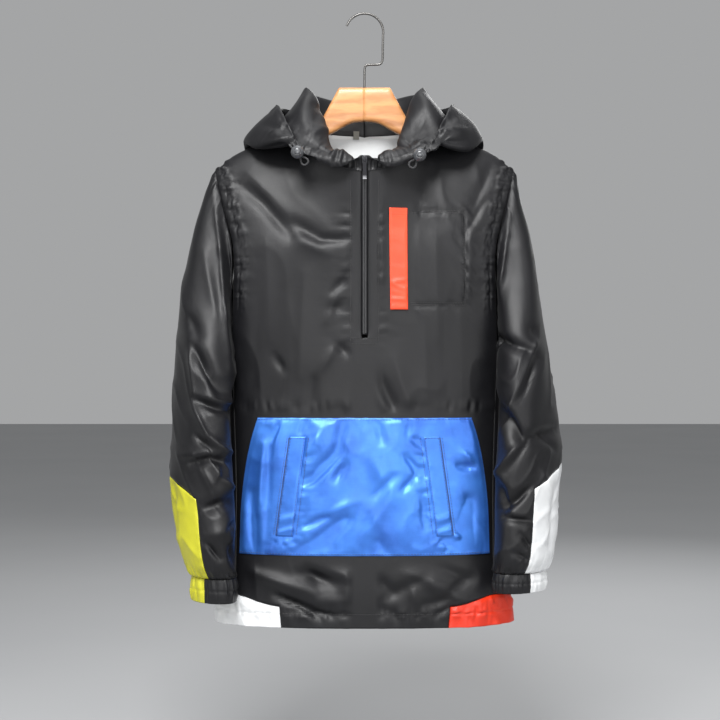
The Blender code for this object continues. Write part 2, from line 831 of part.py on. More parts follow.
def make_zip():
    coil, tape = TAPE["coil_half"], TAPE["coil_half"] + TAPE["step"]
    rows = []
    levels = list(np.linspace(ZIP_END_Z + 1, TAPE["neck_z"], TAPE["rows"]))
    for z in levels + [NECK_FRONT[1], ZIP_TOP_Z]:
        below_neck = z < NECK_FRONT[1]
        wide = TAPE["half_width"] if below_neck else tape + 0.1
        y = zip_y(z)
        behind = y + LAYER + 0.1
        edge = front_y(wide, z) + LAYER + 0.3 if below_neck else behind
        profile = ((-wide, edge), (-tape, behind), (-coil, y), (coil, y), (tape, behind), (wide, edge))
        rows.append([(x, depth, z) for x, depth in profile])
    cloth("zip_tape", rows, black_cloth(), trim=0, wall=TAPE["wall"])


def box(low, high):
    body = bmesh.new()
    bmesh.ops.create_cube(body, size=1)
    for vertex in body.verts:
        vertex.co = Vector(mix(a, b, c + 0.5) for a, b, c in zip(low, high, vertex.co)) * MM
    return body


def finished(name, body, finish, bevel=0.0):
    mesh = bpy.data.meshes.new(name)
    body.to_mesh(mesh)
    body.free()
    made = add_object(name, mesh, finish)
    if bevel:
        rounding = made.modifiers.new("rounding", "BEVEL")
        rounding.width = bevel * MM
        rounding.segments = 2
    return made


def combine(target, tool, operation):
    tool.hide_render = True
    tool.display_type = "WIRE"
    step = target.modifiers.new(tool.name, "BOOLEAN")
    step.operation = operation
    step.object = tool
    step.solver = "EXACT"


def make_slider():
    half, tall = SLIDER["width"] / 2, SLIDER["height"] / 2
    back, front, z = SLIDER["back_y"], SLIDER["back_y"] - SLIDER["depth"], SLIDER["centre_z"]
    metal = black_metal()
    slider = finished("zip_slider", box((-half, front, z - tall), (half, back, z + tall)), metal, 0.8)
    wide, reach = BRIDGE["half_width"], BRIDGE["half_height"]
    outer = front - BRIDGE["gap"] - BRIDGE["bar"]
    arch = finished("bridge", box((-wide, outer, z - reach), (wide, front + 1, z + reach)), metal, 0.5)
    inner = reach - BRIDGE["bar"]
    gap = finished(
        "bridge_gap",
        box((-wide - 1, front - BRIDGE["gap"], z - inner), (wide + 1, front, z + inner)),
        metal,
    )
    combine(arch, gap, "DIFFERENCE")
    combine(slider, arch, "UNION")


def make_pull_tab():
    z, y = SLIDER["centre_z"], AXIS_Y
    wide, wall = TAB["half_width"], TAB["wall"] / 2
    tab = finished(
        "zip_pull_tab",
        box((-wide, y - wall, z - TAB["length"]), (wide, y + wall, z + wall)),
        black_metal(),
        0.35,
    )
    hole = finished(
        "tab_hole",
        box((TAB["arm"] - wide, y - 2, z - TAB["hole"]), (wide - TAB["arm"], y + 2, z - wall)),
        black_metal(),
    )
    combine(tab, hole, "DIFFERENCE")


# Drawcord: a loop and a cord lock on each side

LOCK_RADIUS = 9.4
CORD_DIAMETER = 2.4
STRAND = 1.9  # each strand's distance from the middle of the cord bore
BORE = {"behind": 4.8, "half_height": 1.65, "half_width": 3.6}
PLUNGER = {"radius": 4.5, "clear": 0.3, "hole_end": -0.6, "end": -4.2, "front": -11.6, "dome": 2.2}
EYELET = {"along": -17.5, "across": 3.6, "gap": 0.5, "straight": 4.0}  # where a strand meets the hood
LOCKS = {
    "right": {"centre": (-93.0, -92.0, -213.0), "run": 52.0},
    "left": {"centre": (76.0, -92.0, -217.0), "run": 128.0},
}
# The loop's route in the lock's own frame: along the bore, across it, and back towards the hood
LOOP = [
    (-12.0, 2.2, 1.6),
    (-8.5, 1.9, 0.2),
    (0.0, 1.9, 0.0),
    (8.5, 1.9, 0.0),
    (12.0, 3.6, -0.4),
    (15.8, 4.9, -1.0),
    (19.2, 3.7, -1.6),
    (20.6, 0.0, -1.8),
]


def turned(rings, finish, name, place, axis):
    """A turned solid: rings of (radius, height) about an axis through a place."""
    aim = Vector((0, 0, 1)).rotation_difference(Vector(axis)).to_matrix()
    sides = 16
    loops = []
    for radius, height in rings:
        loop = []
        for k in range(sides):
            angle = 2 * math.pi * k / sides
            spot = aim @ Vector((radius * math.cos(angle), radius * math.sin(angle), height))
            loop.append(np.array(place) + np.array(spot))
        loops.append(loop)
    return rounded_solid(name, loops, finish)


def hood_shell(side):
    """The hood half on one side, ready to be met by a straight line."""
    grid = hood_grid()
    if side == "right":
        grid = grid * (-1, 1, 1)
    rows, columns = len(grid), len(grid[0])
    faces = []
    for row in range(rows - 1):
        for column in range(columns - 1):
            first = row * columns + column
            faces.append((first, first + 1, first + columns + 1, first + columns))
    return BVHTree.FromPolygons([tuple(point) for point in grid.reshape(-1, 3)], faces)


def strand_end(shell, place):
    """Where a strand meets the hood behind a place, standing square on the cloth."""
    met, normal, _, _ = shell.ray_cast(Vector(place) - Vector((0, 30, 0)), Vector((0, 1, 0)))
    if normal.y > 0:
        normal = -normal
    off = CLOTH / 2 + EYELET["gap"]
    return [np.array(met + normal * off), np.array(met + normal * (off + EYELET["straight"]))]


def make_lock(side):
    centre = np.array(LOCKS[side]["centre"])
    run = math.radians(LOCKS[side]["run"])
    along = np.array([math.cos(run), 0, -math.sin(run)])
    across = np.array([math.sin(run), 0, math.cos(run)])
    heights = [math.radians(a) for a in np.linspace(-82, 82, 9)]
    rings = [(LOCK_RADIUS * math.cos(a), LOCK_RADIUS * math.sin(a)) for a in heights]
    lock = turned(rings, black_plastic(), f"cord_lock_{side}", centre, (0, -1, 0))

    bore = centre + np.array([0, BORE["behind"], 0])
    outline = []
    for k in range(16):
        angle = 2 * math.pi * k / 16
        shift = BORE["half_width"] - BORE["half_height"]
        wide = BORE["half_height"] * math.cos(angle) + math.copysign(shift, math.cos(angle))
        outline.append(across * wide + np.array([0, BORE["half_height"] * math.sin(angle), 0]))
    ends = [[bore + along * reach + spot for spot in outline] for reach in (-14, 14)]
    combine(lock, rounded_solid(f"cord_bore_{side}", ends, black_plastic()), "DIFFERENCE")

    radius = PLUNGER["radius"] + PLUNGER["clear"]
    walls = [(radius, -PLUNGER["hole_end"]), (radius, 20)]
    hole = turned(walls, black_plastic(), f"plunger_hole_{side}", centre, (0, -1, 0))
    combine(lock, hole, "DIFFERENCE")

    wide, front = PLUNGER["radius"], -PLUNGER["front"]
    dome = [(wide * math.cos(a), front - PLUNGER["dome"] * (1 - math.sin(a))) for a in (0, 0.5, 1.0, 1.35)]
    turned([(wide, -PLUNGER["end"])] + dome, black_plastic(), f"lock_plunger_{side}", centre, (0, -1, 0))

    shell = hood_shell(side)
    route = LOOP + [(a, -c, b) for a, c, b in LOOP[-2::-1]]
    stops = [bore + along * a + across * c + np.array([0, b, 0]) for a, c, b in route]
    leaving = bore + along * EYELET["along"]
    stops = strand_end(shell, leaving + across * EYELET["across"]) + stops
    stops += strand_end(shell, leaving - across * EYELET["across"])[::-1]
    tube(f"cord_loop_{side}", smooth_route(stops, 2), CORD_DIAMETER, black_cloth())


# Hanger

HANGER = Table(
    "x top bottom half_depth",
    [
        (0, -106, -155, 8),
        (20, -106, -158, 8),
        (37, -106.5, -167, 8),
        (44, -119, -171, 8),
        (58, -145, -178, 7.5),
        (72, -169.5, -188, 7),
        (84, -175.5, -196, 7),
        (110, -182, -205, 8),
        (150, -194.5, -219, 9),
        (180, -207, -230, 9),
        (196, -216, -236, 8),
        (203, -223, -234, 5),
    ],
)
HANGER_X = (0, 12, 24, 37, 44, 51, 58, 65, 72, 78, 84, 96, 110, 130, 150, 166, 180, 196, 203)
HANGER_SIDES = 10
WIRE = 3.4
HOOK = {"radius": 25.5, "centre": (0.0, -25.5), "start": 160, "end": -8}
HOOK_TAIL = [
    (26.5, -50),
    (26, -66),
    (22.5, -71.5),
    (14, -72.5),
    (4, -73),
    (0.6, -77),
    (0, -90),
    (0, -105.6),
]


def make_hanger():
    rings = []
    stations = [-x for x in HANGER_X[:0:-1]] + list(HANGER_X)
    for x in stations:
        top, bottom = HANGER.at("top", abs(x)), HANGER.at("bottom", abs(x))
        depth, middle = HANGER.at("half_depth", abs(x)), (top + bottom) / 2
        ring = []
        for k in range(HANGER_SIDES):
            angle = 2 * math.pi * (k + 0.5) / HANGER_SIDES
            y = depth * signed_power(math.cos(angle), 0.7)
            z = middle + (top - bottom) / 2 * signed_power(math.sin(angle), 0.7)
            ring.append((x, y, z))
        rings.append(ring)
    rounded_solid("hanger_wood", rings, wood())
    x0, z0 = HOOK["centre"]
    reach = HOOK["radius"] + WIRE / 2
    route = []
    for angle in np.linspace(HOOK["start"], HOOK["end"], 15):
        turn = math.radians(angle)
        route.append((x0 + reach * math.cos(turn), 0, z0 + reach * math.sin(turn)))
    tail = smooth_route([route[-1]] + [(x, 0, z) for x, z in HOOK_TAIL], 3)
    tube("hanger_hook", route + tail[1:], WIRE, steel())


def main():
    for item in list(bpy.data.objects):
        bpy.data.objects.remove(item, do_unlink=True)
    front, back = make_body()
    loop = armhole_loop(front, back)
    make_sleeve("left", white_cloth(), loop)
    make_sleeve("right", yellow_cloth(), loop)
    make_pocket()
    make_flat_piece("welt_left", WELT, 1, blue_cloth())
    make_flat_piece("welt_right", WELT, -1, blue_cloth())
    make_flat_piece("chest_strip", STRIP, 1, orange_cloth())
    make_neck_lining(back)
    make_hood()
    make_zip()
    make_slider()
    make_pull_tab()
    for side in LOCKS:
        make_lock(side)
    make_hanger()


main()
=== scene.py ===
"""The looks of a hooded half-zip windbreaker on a wooden hanger.

Every piece of cloth is worked out from the cut's own sizes, as a fine grid of points with its folds,
gathers and puckers, and stands for the plain solid of the same name. Sizes are in millimetres, with the
origin at the inside top of the hanger's hook, +X towards the wearer's left, -Y the front and +Z up;
they become metres when a mesh is made.
"""

import math

import bmesh
import bpy
import numpy as np
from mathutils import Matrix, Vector
from mathutils.bvhtree import BVHTree


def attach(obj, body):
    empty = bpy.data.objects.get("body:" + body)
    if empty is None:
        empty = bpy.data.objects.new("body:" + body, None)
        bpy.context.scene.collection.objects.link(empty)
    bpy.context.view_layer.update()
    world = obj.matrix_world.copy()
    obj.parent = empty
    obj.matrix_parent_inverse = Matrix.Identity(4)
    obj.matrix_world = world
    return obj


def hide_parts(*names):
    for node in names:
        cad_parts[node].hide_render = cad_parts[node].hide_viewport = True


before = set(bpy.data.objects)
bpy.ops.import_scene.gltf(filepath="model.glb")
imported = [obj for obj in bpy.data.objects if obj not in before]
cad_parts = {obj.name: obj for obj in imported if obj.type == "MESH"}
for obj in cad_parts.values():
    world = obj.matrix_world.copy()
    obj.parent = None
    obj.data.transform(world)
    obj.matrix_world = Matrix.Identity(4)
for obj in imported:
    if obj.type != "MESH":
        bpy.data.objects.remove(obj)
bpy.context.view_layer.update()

MM = 0.001
JACKET = "jacket"

# Camera

camera = bpy.data.objects.new("camera", bpy.data.cameras.new("camera"))
camera.location = (-0.0065, -2.0, -0.5007)
camera.rotation_euler = (math.radians(90), 0, 0)
camera.data.sensor_width = 36
camera.data.lens = 68.97
bpy.context.scene.collection.objects.link(camera)
bpy.context.scene.camera = camera
bpy.context.scene.view_settings.view_transform = "Standard"


# Numbers


class Table:
    """Rows of numbers under named columns, sorted by the first and read along a smooth curve."""

    def __init__(self, columns, rows):
        self.columns = {name: k for k, name in enumerate(columns.split())}
        self.rows = np.array(sorted(rows), float)

    def at(self, column, key):
        keys = self.rows[:, 0]
        values = self.rows[:, self.columns[column]]
        slopes = np.gradient(values, keys)
        key = np.clip(key, keys[0], keys[-1])
        k = np.clip(np.searchsorted(keys, key) - 1, 0, len(keys) - 2)
        span = keys[k + 1] - keys[k]
        return bend(values[k], values[k + 1], slopes[k], slopes[k + 1], (key - keys[k]) / span, span)


def bend(a, b, slope_a, slope_b, t, span=1):
    """A smooth curve from a, where t is 0, to b, where t is 1, with a slope at each end."""
    start = (1 + 2 * t) * (1 - t) ** 2 * a + t * (1 - t) ** 2 * span * slope_a
    return start + (t * t * (3 - 2 * t) * b + t * t * (t - 1) * span * slope_b)


def ease(t):
    t = np.clip(t, 0.0, 1.0)
    return t * t * (3 - 2 * t)


def mix(a, b, t):
    return a + (b - a) * t


def signed_power(value, power):
    return np.sign(value) * np.abs(value) ** power


def hump(value, centre, width):
    return np.exp(-(((value - centre) / width) ** 2))


def ripple(u, v, seed):
    """Smooth noise from -1 to 1 at places (u, v), one swell per unit."""
    size = 64
    heights = np.random.default_rng(seed).uniform(-1, 1, (size, size))
    u, v = np.broadcast_arrays(np.asarray(u, float), np.asarray(v, float))
    column, row = np.floor(u).astype(int), np.floor(v).astype(int)
    a, b = ease(u - column), ease(v - row)
    column, row = column % size, row % size
    right, above = (column + 1) % size, (row + 1) % size
    low = mix(heights[row, column], heights[row, right], a)
    high = mix(heights[above, column], heights[above, right], a)
    return mix(low, high, b)


def crease(u, v, seed):
    """Narrow ridges, from 0 to 1, on smooth noise."""
    return (1 - np.abs(ripple(u, v, seed))) ** 3


def folds_at(folds, x, z):
    """The sum of the folds at (x, z), each fading towards its sides and ends; ridges are the sharper."""
    total = np.zeros(np.broadcast(x, z).shape)
    for x0, z0, x1, z1, height, width in folds:
        length2 = (x1 - x0) ** 2 + (z1 - z0) ** 2
        along = np.clip(((x - x0) * (x1 - x0) + (z - z0) * (z1 - z0)) / length2, 0, 1)
        away = np.hypot(x - mix(x0, x1, along), z - mix(z0, z1, along))
        sharpness = 1.35 if height > 0 else 1.8
        total += height * np.exp(-((away / width) ** sharpness)) * (0.5 + 0.5 * np.sin(math.pi * along))
    return total


def puckers(along, away, pitch, reach, height, seed):
    """Short ripples that stand square to a line of stitches and die out away from it."""
    strength = np.exp(-np.abs(away) / reach) * ease(np.abs(away) / (0.25 * reach))
    wave = ripple(along / pitch, away / (3 * reach), seed)
    wave = wave + 0.6 * ripple(along / pitch * 2.3, away / reach, seed + 1)
    return height * wave * strength


def run_along(points, axis=0):
    """How far each point lies along its line of points, or along the lines of a grid."""
    steps = np.linalg.norm(np.diff(points, axis=axis), axis=-1)
    return np.insert(np.cumsum(steps, axis=axis), 0, 0, axis=axis)


# Looks: a material is worked out from expressions on its surface's values


class Value:
    """A number that varies over a surface. Arithmetic on it adds the Math nodes."""

    def __init__(self, look, socket):
        self.look, self.socket = look, socket

    def joined(self, operation, *numbers):
        return self.look.node("ShaderNodeMath", {"operation": operation}, dict(enumerate(numbers)))

    def __add__(self, other):
        return self.joined("ADD", self, other)

    def __radd__(self, other):
        return self.joined("ADD", other, self)

    def __sub__(self, other):
        return self.joined("SUBTRACT", self, other)

    def __rsub__(self, other):
        return self.joined("SUBTRACT", other, self)

    def __mul__(self, other):
        return self.joined("MULTIPLY", self, other)

    def __rmul__(self, other):
        return self.joined("MULTIPLY", other, self)

    def __pow__(self, other):
        return self.joined("POWER", self, other)

    def above(self, low, high):
        """0 below low, 1 above high, even between."""
        sockets = {"Value": self, "From Min": low, "From Max": high}
        return self.look.node("ShaderNodeMapRange", {"clamp": True}, sockets)

    def size(self):
        return self.joined("ABSOLUTE", self)


class Look:
    """One material: its node tree, its shader and the one method that adds a node."""

    def __init__(self, name, **constants):
        self.material = bpy.data.materials.new(name)
        self.material.use_nodes = True
        self.tree = self.material.node_tree
        self.shader = self.tree.nodes["Principled BSDF"]
        for socket, value in constants.items():
            self.shader.inputs[socket.replace("_", " ").title().replace("Ior", "IOR")].default_value = value

    def node(self, kind, settings=None, sockets=None, output=0):
        made = self.tree.nodes.new(kind)
        for name, value in (settings or {}).items():
            setattr(made, name, value)
        for name, value in (sockets or {}).items():
            self.put(made.inputs[name], value)
        return Value(self, made.outputs[output])

    def put(self, socket, value):
        if isinstance(value, Value):
            self.tree.links.new(value.socket, socket)
        elif isinstance(value, tuple) and len(socket.default_value) == 4:
            socket.default_value = (*value, 1)
        else:
            socket.default_value = value

    def set(self, socket, value):
        self.put(self.shader.inputs[socket], value)

    def place(self, scale=(1, 1, 1), turn=(0, 0, 0)):
        """The piece's own coordinates in metres, stretched and turned."""
        own = self.node("ShaderNodeTexCoord", output=3)
        return self.node("ShaderNodeMapping", {}, {"Vector": own, "Scale": scale, "Rotation": turn})

    def noise(self, place, scale, detail=3.0, rough=0.5, twist=0.0):
        sockets = {"Vector": place, "Scale": scale, "Detail": detail, "Roughness": rough, "Distortion": twist}
        return self.node("ShaderNodeTexNoise", {}, sockets)

    def bands(self, place, scale, direction, twist=0.0, **more):
        """Even bands, from 0 to 1."""
        settings = {"wave_type": "BANDS", "bands_direction": direction}
        sockets = {"Vector": place, "Scale": scale, "Distortion": twist, **more}
        return self.node("ShaderNodeTexWave", settings, sockets, output=1)

    def height(self):
        """How high a place is in the piece, in metres."""
        return self.node("ShaderNodeSeparateXYZ", {}, {"Vector": self.place()}, output=2)

    def blend(self, share, low, high):
        sockets = {0: share, 6: low, 7: high}
        return self.node("ShaderNodeMix", {"data_type": "RGBA"}, sockets, output=2)

    def relief(self, height_mm):
        """Small relief whose height is in millimetres."""
        self.set("Normal", self.node("ShaderNodeBump", {}, {"Height": height_mm, "Distance": MM}))


WEAVE = 480  # how fine the nylon's threads are


def satin(name, deep, lit, rough=0.4, sheen=0.02, metallic=0.0, crinkle=0.08, specular=0.5):
    """Thin woven nylon with a sheen: fine threads both ways, slubs and uneven tone."""
    look = Look(name, sheen_weight=sheen, sheen_roughness=0.4, metallic=metallic, specular_ior_level=specular)
    own = look.place()
    tone = look.noise(own, 9, 3)
    cloud = look.noise(own, 34, 4, 0.55)
    shade = (tone * 0.65 + cloud * 0.35).above(0.34, 0.66)
    warp = look.bands(own, WEAVE, "X", 0.5)
    weft = look.bands(own, WEAVE, "Z", 0.5)
    slubs = look.noise(look.place((60, 60, 900)), 1.0, 2)
    fade = shade * 0.75 + (warp * weft) * 0.15 + slubs * 0.1
    look.set("Base Color", look.blend(fade, deep, lit))
    soft = 1 - (look.noise(own, 46, 2, 0.5, 0.3) - 0.5).size() * 2
    look.relief(soft**4 * crinkle + (warp + weft) * 0.025 + slubs * 0.03)
    look.set("Roughness", rough + (cloud - 0.5) * 0.12 + (slubs - 0.5) * 0.06)
    return look.material


def thread_look(name, colour):
    """Sewing thread: two plies that twist round each other."""
    look = Look(name, sheen_weight=0.2)
    twist = look.bands(look.place(turn=(0.5, 0.5, 0.7)), 900, "DIAGONAL")
    look.set("Base Color", look.blend(twist, tuple(c * 0.7 for c in colour), colour))
    look.set("Roughness", 0.5 + twist * 0.15)
    look.relief(twist * 0.06)
    return look.material


def plastic_look(name, colour, rough):
    """Moulded plastic: an even gloss with a faint skin and handling marks."""
    look = Look(name, specular_ior_level=0.55)
    own = look.place()
    marks = look.noise(own, 240, 4, 0.6)
    look.set("Base Color", look.blend(marks.above(0.3, 0.7), colour, tuple(c * 1.6 + 0.003 for c in colour)))
    look.set("Roughness", rough + marks * 0.12)
    look.relief(look.noise(own, 900, 2) * 0.03)
    return look.material


def metal_look(name, colour, worn, rough, grain=420, scratch=0.004):
    """Metal with fine rubbed streaks and small scratches."""
    look = Look(name, metallic=1.0)
    streaks = look.noise(look.place((1, 1, 0.08)), grain, 2)
    patches = look.noise(look.place(), grain / 4, 4, 0.6)
    look.set("Base Color", look.blend((patches * 0.6 + streaks * 0.4).above(0.35, 0.65), colour, worn))
    look.set("Roughness", rough + streaks * 0.12 + patches * 0.08)
    look.relief(streaks * scratch)
    return look.material


def tab_look():
    """The pull tab: black metal that turns lighter and smoother towards its free end."""
    look = Look("black_metal_tab", metallic=1.0)
    patches = look.noise(look.place(), 260, 3, 0.6)
    toward_free_end = (look.height() * -1 + patches * 0.003).above(0.2440, 0.2490)
    look.set("Base Color", look.blend(toward_free_end, (0.02, 0.02, 0.022), (0.20, 0.20, 0.21)))
    look.set("Roughness", 0.3 - toward_free_end * 0.08 + patches * 0.1)
    return look.material


def braid_look():
    """Braided elastic cord: threads that cross at a slant in both directions."""
    look = Look("braided_cord", sheen_weight=0.2)
    one = look.bands(look.place(turn=(0.6, 0.4, 0.8)), 330, "DIAGONAL")
    other = look.bands(look.place(turn=(-0.7, 0.5, -0.6)), 330, "DIAGONAL")
    plait = one * other
    look.set("Base Color", look.blend(plait, (0.008, 0.008, 0.009), (0.035, 0.035, 0.04)))
    look.set("Roughness", 0.62 - plait * 0.14)
    look.relief(plait * 0.25)
    return look.material


def wood_look():
    """Varnished pale hardwood with long grain along the arms, fine pores and a warmer heart."""
    look = Look("varnished_wood", coat_weight=0.25, coat_roughness=0.22)
    wander = look.noise(look.place((1.0, 7, 9)), 7, 4, 0.6)
    grain = {"Detail": 4.0, "Detail Scale": 1.1, "Detail Roughness": 0.62}
    rings = look.bands(look.place((1.6, 5, 5), (0, 0.12, 0)), 4.0, "Z", 11.0, **grain)
    pores = look.noise(look.place((40, 900, 900)), 1.0, 3, 0.6)
    warm = look.blend(rings * 0.45 + wander * 0.55, (0.34, 0.125, 0.036), (0.60, 0.29, 0.105))
    # Dark blotches only low on the bar: over its arms and the foot of its middle.
    low_down = (look.height() * -1).above(0.12, 0.165)
    low_blotches = look.noise(look.place((1, 2, 3)), 24, 4, 0.6).above(0.5, 0.68) * low_down
    dark = pores.above(0.56, 0.72) * 0.45 + low_blotches * 0.6
    look.set("Base Color", look.blend(dark, warm, look.blend(rings, (0.30, 0.13, 0.045), (0.42, 0.21, 0.08))))
    look.set("Roughness", 0.36 + wander * 0.14 + pores * 0.06)
    look.relief(rings * 0.10 - dark * 0.16)
    return look.material


# Finishes: a look and the name of a slot

BLACK = (
    satin("black_satin", (0.0028, 0.0028, 0.0036), (0.006, 0.006, 0.0074), 0.45, crinkle=0.05, specular=0.33),
    "black_cloth",
)
BLUE = (
    satin(
        "blue_satin", (0.012, 0.062, 0.34), (0.062, 0.25, 0.8), 0.36, metallic=0.5, crinkle=0.03, specular=0.6
    ),
    "blue_cloth",
)
WHITE = satin("white_nylon", (0.60, 0.61, 0.62), (0.72, 0.73, 0.73), 0.46, sheen=0.05), "white_cloth"
ORANGE = satin("orange_nylon", (0.52, 0.018, 0.002), (0.70, 0.030, 0.003), 0.44), "orange_cloth"
STRIP_ORANGE = (
    satin("strip_orange", (0.72, 0.042, 0.008), (0.88, 0.072, 0.016), 0.44, crinkle=0.06),
    "orange_cloth",
)
OFF_WHITE = (
    satin("tab_off_white", (0.20, 0.20, 0.17), (0.28, 0.27, 0.24), 0.6, sheen=0.05, crinkle=0.1),
    "white_cloth",
)
YELLOW = satin("yellow_nylon", (0.38, 0.37, 0.010), (0.54, 0.52, 0.025), 0.44), "yellow_cloth"
BLACK_THREAD = thread_look("black_thread", (0.003, 0.003, 0.0035)), "black_cloth"
NAVY_THREAD = thread_look("navy_thread", (0.006, 0.02, 0.09)), "blue_cloth"
WHITE_THREAD = thread_look("white_thread", (0.72, 0.73, 0.75)), "white_cloth"
ORANGE_THREAD = thread_look("orange_thread", (0.80, 0.12, 0.03)), "orange_cloth"
BLACK_PLASTIC = plastic_look("black_plastic_gloss", (0.050, 0.052, 0.056), 0.16), "black_plastic"
TEETH = plastic_look("zip_teeth", (0.014, 0.014, 0.016), 0.28), "black_plastic"
GUNMETAL = metal_look("black_metal_worn", (0.018, 0.018, 0.02), (0.05, 0.05, 0.054), 0.26)
TAB_METAL = tab_look()
STEEL = (
    metal_look("hook_steel_bright", (0.105, 0.103, 0.10), (0.135, 0.13, 0.125), 0.34, 60, 0.0),
    "hook_steel",
)
BRAID = braid_look(), "cord"
WOOD = wood_look(), "hanger_wood"


# The cut: its levels, its oval body and its seams

HEM_Z, UNDERARM_Z, YOKE_Z, ZIP_END_Z = -876.0, -480.0, -340.0, -466.0
NECK_HALF, NECK_SIDE_Z = 76.0, -167.0
NECK_FRONT, NECK_BACK = (-66.0, -235.0), (32.0, -172.0)
SHOULDER_X = 218.0
ZIP_SLOT_HALF = 4.0
NECK_SHARE = {"front": 4 / 13, "back": 4 / 12}
INSET_SHARE = {"front": 7 / 13, "back": 0.5}
OVAL = 2.4
CLOTH = 0.8  # wall of the sewn pieces
ON_CLOTH = CLOTH / 2 + 0.05  # where stitches lie, from the middle of the wall
SEAM_DIP = {"depth": 0.9, "reach": 3.0}  # a seam draws its two edges in
HEM_STITCH = 20.0  # height of the stitched line above the hem

BODY = Table(
    "z half_width front_depth back_depth front_turn back_turn",
    [
        (-876, 213, 75, 55, 54.2, 54.2),
        (-840, 211, 75, 55, 57, 57),
        (-775, 204, 72, 54, 61, 61),
        (-700, 198, 68, 53, 65, 65),
        (-582, 196, 63, 52, 70, 70),
        (-480, 196, 60, 51, 75, 75),
        (-445, 199, 59, 51, 71, 92),
        (-410, 203, 58, 50, 67, 105),
        (-375, 206, 58, 50, 64, 113),
        (-340, 208, 58, 50, 62, 118),
    ],
)
SHOULDER = Table("x z", [(76, -167), (110, -176), (150, -188), (180, -200), (205, -216), (218, -228)])

# Folds: x0, z0, x1, z1, height and width of a ridge or trough between two places
FRONT_FOLDS = [
    (-176, -250, -144, -276, -6, 11),
    (-144, -276, -104, -324, -7, 10),
    (-165, -236, -118, -290, 4, 11),
    (-101, -306, -62, -330, -6, 8),
    (-62, -330, -26, -331, -5, 6),
    (-96, -330, -50, -350, 4, 10),
    (-44, -404, -20, -380, -5, 6),
    (-49, -430, -30, -424, -4, 8),
    (-52, -446, -36, -398, 3, 7),
    (-126, -496, -114, -516, -3.5, 6),
    (-40, -478, -26, -491, -5, 6),
    (-66, -520, -38, -478, 3.5, 8),
    (15, -516, 47, -580, -6, 8),
    (-2, -500, 22, -560, 3.5, 9),
    (42, -500, 66, -572, 3, 10),
    (182, -222, 148, -300, -3, 7),
    (172, -274, 140, -326, -3, 5),
    (127, -324, 142, -344, -2.5, 4),
    (84, -440, 88, -575, 1.6, 9),
    (112, -430, 116, -575, -1.4, 8),
    (134, -380, 138, -560, 1.5, 9),
    (-110, -420, -106, -560, 1.6, 14),
    (-72, -530, -78, -580, -2.4, 7),
    (-150, -360, -156, -540, -1.6, 10),
    (-150, -806, -96, -822, 5, 10),
    (-96, -800, -40, -812, -5, 9),
    (-42, -796, 8, -818, 5, 10),
    (6, -800, 40, -826, -6, 8),
    (24, -836, 84, -806, -4.5, 8),
    (60, -798, 124, -822, 5, 10),
    (112, -832, 150, -806, -5, 9),
    (-66, -838, -10, -834, 3, 7),
    (18, -842, 46, -860, -3, 6),
    (-120, -838, -78, -846, -3, 6),
    (-127, -829, -44, -860, -5, 5),
    (-110, -852, -6, -858, -3, 4),
    (-81, -795, -44, -815, -5, 8),
    (-159, -798, -70, -826, 5, 8),
    (-30, -822, 14, -842, 4, 7),
    (96, -818, 140, -838, 4, 6),
    (9, -826, 24, -857, -5, 6),
    (82, -843, 121, -836, -4, 5),
    (100, -858, 124, -844, -4, 4),
    (-124, -831, -92, -845, -5, 4),
    (-92, -845, -62, -863, -5, 4),
    (-20, -800, -6, -840, 3, 8),
    (150, -300, 146, -400, 3, 9),
    (100, -330, 104, -470, 2.5, 12),
    (-84, -380, -92, -520, 2.5, 12),
    (-140, -330, -136, -470, 2.5, 12),
    (60, -810, 76, -846, 3, 8),
    (-80, -790, -60, -824, -3, 8),
    (110, -790, 150, -812, -4, 8),
]
BACK_FOLDS = [
    (-140, -300, -60, -420, -5, 14),
    (130, -320, 70, -430, -5, 14),
    (-150, -300, -110, -400, 3.5, 9),
    (120, -290, 150, -380, 3.5, 9),
    (-90, -520, -60, -700, 5, 15),
    (70, -540, 96, -720, 5, 15),
    (-20, -600, 0, -800, -5, 14),
    (-110, -560, -126, -720, -3, 10),
    (20, -470, 34, -600, -3, 10),
    (-130, -760, -60, -820, 5, 12),
    (-60, -770, 30, -830, -4, 10),
    (130, -740, 50, -815, -5, 12),
]


def oval_point(z, turn):
    """Points of the body's oval at height z: turn is 0 at the centre front and 180 at the centre back."""
    z, turn = np.broadcast_arrays(np.asarray(z, float), np.asarray(turn, float))
    sine, cosine = np.sin(np.radians(turn)), np.cos(np.radians(turn))
    depth = np.where(cosine > 0, BODY.at("front_depth", z), BODY.at("back_depth", z))
    x = BODY.at("half_width", z) * signed_power(sine, 2 / OVAL)
    y = -depth * signed_power(cosine, 2 / OVAL)
    return np.stack([x, y, z], axis=-1)


def panel_turn(part, z, share):
    """The turn at a share of the way from a panel's centre line (0) to its side edge (1)."""
    if part == "front":
        slot = np.degrees(np.arcsin((ZIP_SLOT_HALF / BODY.at("half_width", z)) ** (OVAL / 2)))
        return np.maximum(share * BODY.at("front_turn", z), slot)
    edge = np.where(z <= UNDERARM_Z, BODY.at("front_turn", z), BODY.at("back_turn", z))
    return 180 - share * (180 - edge)


